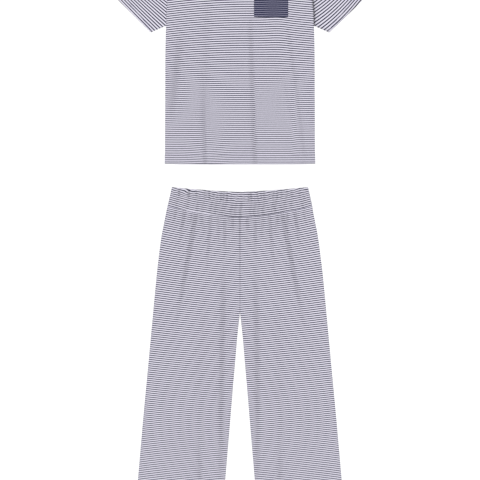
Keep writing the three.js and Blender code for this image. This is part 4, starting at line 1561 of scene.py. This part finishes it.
class Trousers:
    """The wide-leg trousers: four leg panels and a gathered waistband in two halves."""

    def __init__(self, room: SewingRoom, pattern: TrouserPattern | None = None) -> None:
        """Keeps the pattern and the room that the pieces go to."""
        self.room = room
        self.pattern = pattern or TrouserPattern()
        self.outer = {
            Side.RIGHT: Curve(self.pattern.outer_at, self.pattern.outer_right),
            Side.LEFT: Curve(self.pattern.outer_at, self.pattern.outer_left),
        }
        self.folds = {Side.RIGHT: self.pattern.folds_right, Side.LEFT: self.pattern.folds_left}
        self.depth = BandDepth()

    def air(self, side: Side, x: Array, y: Array) -> Array:
        """Air under a front: loft between its seams and gathers, less troughs and the centre seam.

        Args:
            side: The wearer's side.
            x: Points' X.
            y: Their Y.

        Returns:
            Height of the air at each point.
        """
        p = self.pattern
        across = np.abs(x)
        above_crotch = smooth(p.crotch_y - 60, p.crotch_y + 30, y)
        near_out = JERSEY.risen(self.outer[side](y) - across)
        near_in = lerp(JERSEY.risen(across - p.inner(y)), 1.0, above_crotch)
        below = np.maximum(p.seam(x) - y, 0.0)
        gathered = p.gather_loft * np.exp(-below / p.gather_reach)
        seam = lerp(*p.centre_seam, smooth(-90, 60, y)) * bell(x, p.centre_seam_width) * above_crotch
        lifted = p.loft + gathered + ripples(p.waves, x, y)
        return JERSEY.air((lifted - troughs(self.folds[side], x, y) - seam) * near_out * near_in)

    def front_top(self, side: Side, x: Array, y: Array) -> Array:
        """Height of a front's outer face."""
        above = y - self.pattern.hem_y
        layers = JERSEY.layers(above)
        return 2 * layers * JERSEY.wall + JERSEY.gap + self.air(side, x, y) - JERSEY.sewn(above)

    def grain(self, x: Array, y: Array) -> tuple[Array, Array]:
        """Grain of the legs.

        The stripes run down towards the middle, and with the waist seam beside it. The first one is
        drawn up a little under the seam.

        Args:
            x: Points' X.
            y: Their Y.

        Returns:
            Distance along the stripes, and number of stripes passed.
        """
        p = self.pattern
        across = np.abs(x)
        below = np.maximum(p.seam(x) - y, 0.0)
        chevron = p.chevron(y) * across + 0.5 * p.chevron_bend(y) * across**2
        rise = lerp(chevron, p.seam(x) - p.seam.centre_y, np.exp(-below / p.seam_reach)) - p.tilt * x
        first = p.first_stripe + p.drawn_up * np.exp(-below / p.drawn_up_reach)
        return x, first + p.pitch.stripes(y - rise) - p.pitch.stripes(np.array(p.seam.centre_y))

    def _grid(self, side: Side, cell: tuple[float, float]) -> tuple[Array, Array, Array]:
        """Points of a leg panel, with the distance of each from the panel's nearest edge.

        Columns share out the width between the outer and the inner seam, and each runs up to where
        it meets the waist seam, which a few rounds of putting one into the other find.

        Args:
            side: The wearer's side.
            cell: Usual width and length of a cell.

        Returns:
            X, Y and the distance from the nearest edge.
        """
        p, (step, run) = self.pattern, cell
        outer = self.outer[side]
        hem_width, rounds = 260.0, 4
        column = (stations(hem_width, step) / hem_width)[None, :]
        head = np.full_like(column, p.seam.centre_y)
        for _ in range(rounds):
            head = p.seam(lerp(outer(head), p.inner(head), column)) - JERSEY.seam_gap
        y = JERSEY.panel_rows(p.hem_y, head, p.seam.side_y - p.hem_y, run)
        across = lerp(outer(y), p.inner(y), column)
        from_sides = np.minimum(outer(y) - across, across - p.inner(y))
        edge = np.minimum.reduce([from_sides, y - p.hem_y, p.pressed * (head - y)])
        return side.value * across, y, edge

    def make_front(self, side: Side) -> None:
        """A leg's front, with the gathers that run down from the waist seam.

        Args:
            side: The wearer's side.
        """
        p = self.pattern
        x, y, edge = self._grid(side, p.front_cell)
        wall = JERSEY.layers(y - p.hem_y) * JERSEY.wall
        faces = JERSEY.front_faces(self.front_top(side, x, y), wall, edge)
        beside = 1.5
        below = p.seam(x) - y
        # Painted shade: in the troughs, at the turned edges and below the gathers, weaker beside the
        # waist seam, a dark line by the centre seam, and a painted highlight along the waist seam
        # towards the sides.
        gathered = p.gather_shade * np.exp(-below / p.gather_shade_reach)
        painted_shading = JERSEY.painted_shading_map(troughs(self.folds[side], x, y), edge) + gathered
        painted_shading = painted_shading * lerp(p.seam_clear, 1.0, smooth(0.0, p.seam_clear_reach, below))
        painted_shading = painted_shading + p.centre_shade * bell(x + beside, p.centre_shade_width) * smooth(-150, 60, y)
        light = p.seam_light * bell(below - beside, p.seam_light_reach)
        painted_shading = painted_shading - light * smooth(*p.light_from, np.abs(x))
        shell = Shell.of_layer(x, y, faces, self.grain(x, y), painted_shading)
        node = f"leg_front_{side.word}"
        self.room.cloth(node, shell, (0.32, 0.984), [f"leg_back_{side.word}"], area=0.25)

    def make_back(self, side: Side) -> None:
        """A leg's back, flat on the surface."""
        x, y, edge = self._grid(side, self.pattern.back_cell)
        wall = JERSEY.layers(y - self.pattern.hem_y) * JERSEY.wall
        shell = Shell.of_layer(x, y, JERSEY.flat_faces(wall, edge, JERSEY.edge), self.grain(x, y))
        self.room.cloth(f"leg_back_{side.word}", shell, (0.32, 0.984), area=0.25)

    @staticmethod
    def creases(rows: Sequence[tuple[float, float]], x: Array, width: float) -> Array:
        """Depth of a row of creases across the band, each with its place and its own depth."""
        return sum((depth * bell(x - place, width) for place, depth in rows), np.zeros_like(x))

    def _band_grid(self, step: float) -> tuple[Array, Array, Array, Array, Array]:
        """Points of the waistband between its two edges.

        Args:
            step: Usual size of a cell.

        Returns:
            X, Y, the share across, the share up and the distance from the nearest edge.
        """
        p = self.pattern
        across = (stations(2 * p.seam.half, 0.8 * step) / p.seam.half - 1)[None, :]
        depth = p.top.centre_y - p.seam.centre_y
        up = (stations(depth, step, marks=(p.channel * depth,)) / depth)[:, None]
        foot, head = p.seam(across * p.seam.half), p.top(across * p.top.half)
        x = across * lerp(p.seam.half, p.top.half, up)
        y = lerp(foot, head, up)
        across, up = across + 0 * up, up + 0 * across
        rise = head - foot
        from_ends = (1 - np.abs(across)) * p.seam.half
        edge = np.minimum.reduce([p.pressed * up * rise, (1 - up) * rise, from_ends])
        return x, y, across, up, edge

    def band_creases(self, across: Array, up: Array) -> Array:
        """Depth of the band's creases, close and sharp in the elastic's channel and softer below it.

        Args:
            across: Share of the half width, from -1 to 1.
            up: Share of the way from the waist seam to the top.

        Returns:
            Depth at each point.
        """
        p = self.pattern
        depth = self.depth
        x = across * lerp(p.seam.half, p.top.half, up)
        lean = depth.sway * (up - depth.sway_from) * np.sin(x / 23.0)
        tight = self.creases(p.channel_creases, x + lean, p.channel_crease_width)
        loose = self.creases(p.lower_creases, x + 2.0 * np.sin(9.0 * up), p.lower_crease_width)
        held = 1 - depth.held * bell(up - p.channel, depth.row)
        few = depth.pucker + depth.pucker_change * np.sin(x / 27.0)
        puckers = few * np.clip(ripple(x, 22.0 * up, depth.pucker_length, 1.3), 0.0, 1.0)
        tight = (depth.tight * tight + puckers) * lerp(1.0, depth.at_top, smooth(0.88, 0.98, up))
        return held * lerp(depth.loose * loose, tight, smooth(p.channel - 0.03, p.channel + 0.04, up))

    def band_top(self, x: Array, across: Array, up: Array) -> Array:
        """Height of the band's outer face, which swells on both sides of its row of stitches.

        Args:
            x: Points' X.
            across: Share of the half width, from -1 to 1.
            up: Share of the way from the waist seam to the top.

        Returns:
            Height of each point.
        """
        p, depth = self.pattern, self.depth
        seam = depth.stitched * bell(up - p.channel, depth.row)
        below = depth.swell_below * np.sin(np.pi * np.clip(up / p.channel, 0, 1))
        above = depth.swell_above * np.sin(np.pi * np.clip((up - p.channel) / (1 - p.channel), 0, 1))
        in_channel = smooth(p.channel, p.channel + 0.15, up)
        bulge = depth.bulge * ripple(x, 40 * up, depth.bulge_length) * in_channel
        return 2 * p.band + JERSEY.gap + below + above + bulge - seam - self.band_creases(across, up)

    def make_band_front(self) -> None:
        """The waistband's front, puckered by its elastic and stitched below it."""
        p, shade = self.pattern, self.pattern.band_shade
        x, y, across, up, edge = self._band_grid(p.band_cell)
        top = self.band_top(x, across, up)
        base = p.band + JERSEY.seam_gap
        closed = rounded(edge, p.band_round)
        middle = base + 0.6 * p.band
        lean = lerp(*p.band_lean, up) * (p.seam(x) - p.seam.centre_y) - p.band_tilt * x
        drawn = smooth(p.channel - 0.05, p.channel + 0.15, up)
        wobble = ripples(p.band_waves, x, y) - drawn * ripples(p.channel_waves, x, y)
        passed = y - p.seam.centre_y - lean + wobble + p.band_slip.at(x, y)
        band_depth = p.top.centre_y - p.seam.centre_y
        # Painted shade in the puckers, at the edges and evenly over the band, and a painted highlight
        # along the waist seam towards the sides.
        painted_shading = np.clip(shade.pucker * self.band_creases(across, up), 0, shade.most)
        painted_shading = painted_shading + shade.edge * (1 - smooth(0, shade.edge_reach, edge))
        painted_shading = painted_shading + lerp(*shade.even, smooth(p.channel, p.channel + 0.1, up))
        light = shade.seam_light * bell(band_depth * up, shade.seam_light_reach)
        painted_shading = painted_shading - light * smooth(*p.light_from, np.abs(x))
        faces = lerp(middle, top, closed), lerp(middle, base, closed)
        shell = Shell.of_layer(x, y, faces, (x, p.band_first + passed / p.band_pitch), painted_shading)
        self.room.cloth("waistband_front", shell, (0.45, 0.083), ["waistband_back"], area=0.034)

    def make_band_back(self) -> None:
        """The waistband's back, flat on the surface."""
        p = self.pattern
        x, y, _, _, edge = self._band_grid(p.band_back_cell)
        stripes = p.band_back_first + (y - 0.5 * (p.seam(x) + p.top(x))) / p.band_pitch
        shell = Shell.of_layer(x, y, JERSEY.flat_faces(p.band, edge, p.band_back_round), (x, stripes))
        self.room.cloth("waistband_back", shell, (0.45, 0.083), area=0.034)

    def sew(self) -> None:
        """Rows of stitches on the leg hems and along the elastic's channel."""
        p = self.pattern
        rows = []
        for side in Side:
            for above in JERSEY.hem_rows:
                height = p.hem_y + above
                inner, outer = float(p.inner(height)), float(self.outer[side](height))
                x = side.value * np.linspace(inner + JERSEY.row_inset, outer - JERSEY.row_inset, 160)
                y = np.full_like(x, height)
                rows.append(np.stack([x, y, self.front_top(side, x, y)], axis=-1))
        self.room.stitches("leg_hem_stitches", rows, self.room.finishes.white_thread)
        across = np.linspace(-0.985, 0.985, 700)
        up = np.full_like(across, p.channel)
        x = across * lerp(p.seam.half, p.top.half, p.channel)
        y = lerp(p.seam(across * p.seam.half), p.top(across * p.top.half), p.channel)
        channel = np.stack([x, y, self.band_top(x, across, up) + 0.1], axis=-1)
        self.room.stitches("channel_stitches", [channel], self.room.finishes.white_thread,
                           length=2.8, pitch=3.6)

    def make(self) -> None:
        """Makes every piece of the trousers and sews them."""
        for side in Side:
            self.make_back(side)
            self.make_front(side)
        self.make_band_back()
        self.make_band_front()
        self.sew()


# Studio


@dataclass(frozen=True)
class Studio:
    """A white table top under soft light, with the camera straight above. Sizes are metres."""

    view_width: float = 1.44
    lens: float = 85.0
    sensor: float = 36.0
    cloth_height: float = 0.005
    table: float = 60.0
    table_white: float = 0.93
    sky: float = 0.3
    sun: float = 2.77
    sun_spread: float = 0.7

    def make_camera(self) -> None:
        """Places the camera so that the picture is view_width across, with +Y up in it."""
        camera = bpy.data.cameras.new("camera")
        camera.lens = self.lens
        camera.sensor_width = self.sensor
        seen = bpy.data.objects.new("camera", camera)
        seen.location = (0.0, 0.0, self.cloth_height + self.view_width * self.lens / self.sensor)
        bpy.context.scene.collection.objects.link(seen)
        bpy.context.scene.camera = seen

    def make_light(self) -> None:
        """Adds one broad soft light straight above, the same all over the set."""
        light = bpy.data.lights.new("overhead_light", "SUN")
        light.energy = self.sun
        light.angle = self.sun_spread
        lamp = bpy.data.objects.new("overhead_light", light)
        lamp.location = (0.0, 0.0, 4.0)
        bpy.context.scene.collection.objects.link(lamp)

    def make_table(self) -> None:
        """Adds the table top as a subdivided sheet with a faint eggshell finish."""
        width = self.table / MM
        places = stations(width, width / 8) - 0.5 * width
        x, y = np.meshgrid(places, places)
        shell = Shell.of_layer(x, y, (0 * x - 0.2, 0 * x - 20.0), (x, 0 * x))
        mesh = shell.build("table_top")
        shader = Shader("table_white")
        place = shader.node("ShaderNodeTexCoord").outputs["Object"]
        grit = shader.noise(40.0, 3.0, place)
        mesh.materials.append(shader.finish({
            "Base Color": (self.table_white,) * 3,
            "Roughness": 0.7 + grit * 0.1,
            "Specular IOR Level": 0.1,
        }))
        table = bpy.data.objects.new("table_top", mesh)
        bpy.context.scene.collection.objects.link(table)

    def make(self) -> None:
        """Makes the camera, the light, the sky and the table."""
        self.make_camera()
        self.make_light()
        world = bpy.data.worlds.new("white_room")
        world.use_nodes = True
        background = world.node_tree.nodes["Background"]
        background.inputs["Color"].default_value = (1.0, 1.0, 1.0, 1.0)
        background.inputs["Strength"].default_value = self.sky
        bpy.context.scene.world = world
        bpy.context.scene.view_settings.view_transform = "Standard"
        self.make_table()


def main() -> None:
    """Loads the frame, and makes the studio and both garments."""
    logging.basicConfig(level=logging.INFO, format="%(message)s")
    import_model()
    Studio().make()
    room = SewingRoom(Finishes())
    Tee(room).make()
    Trousers(room).make()
    LOG.info("%d pieces made", len(room.made))


if __name__ == "__main__":
    main()
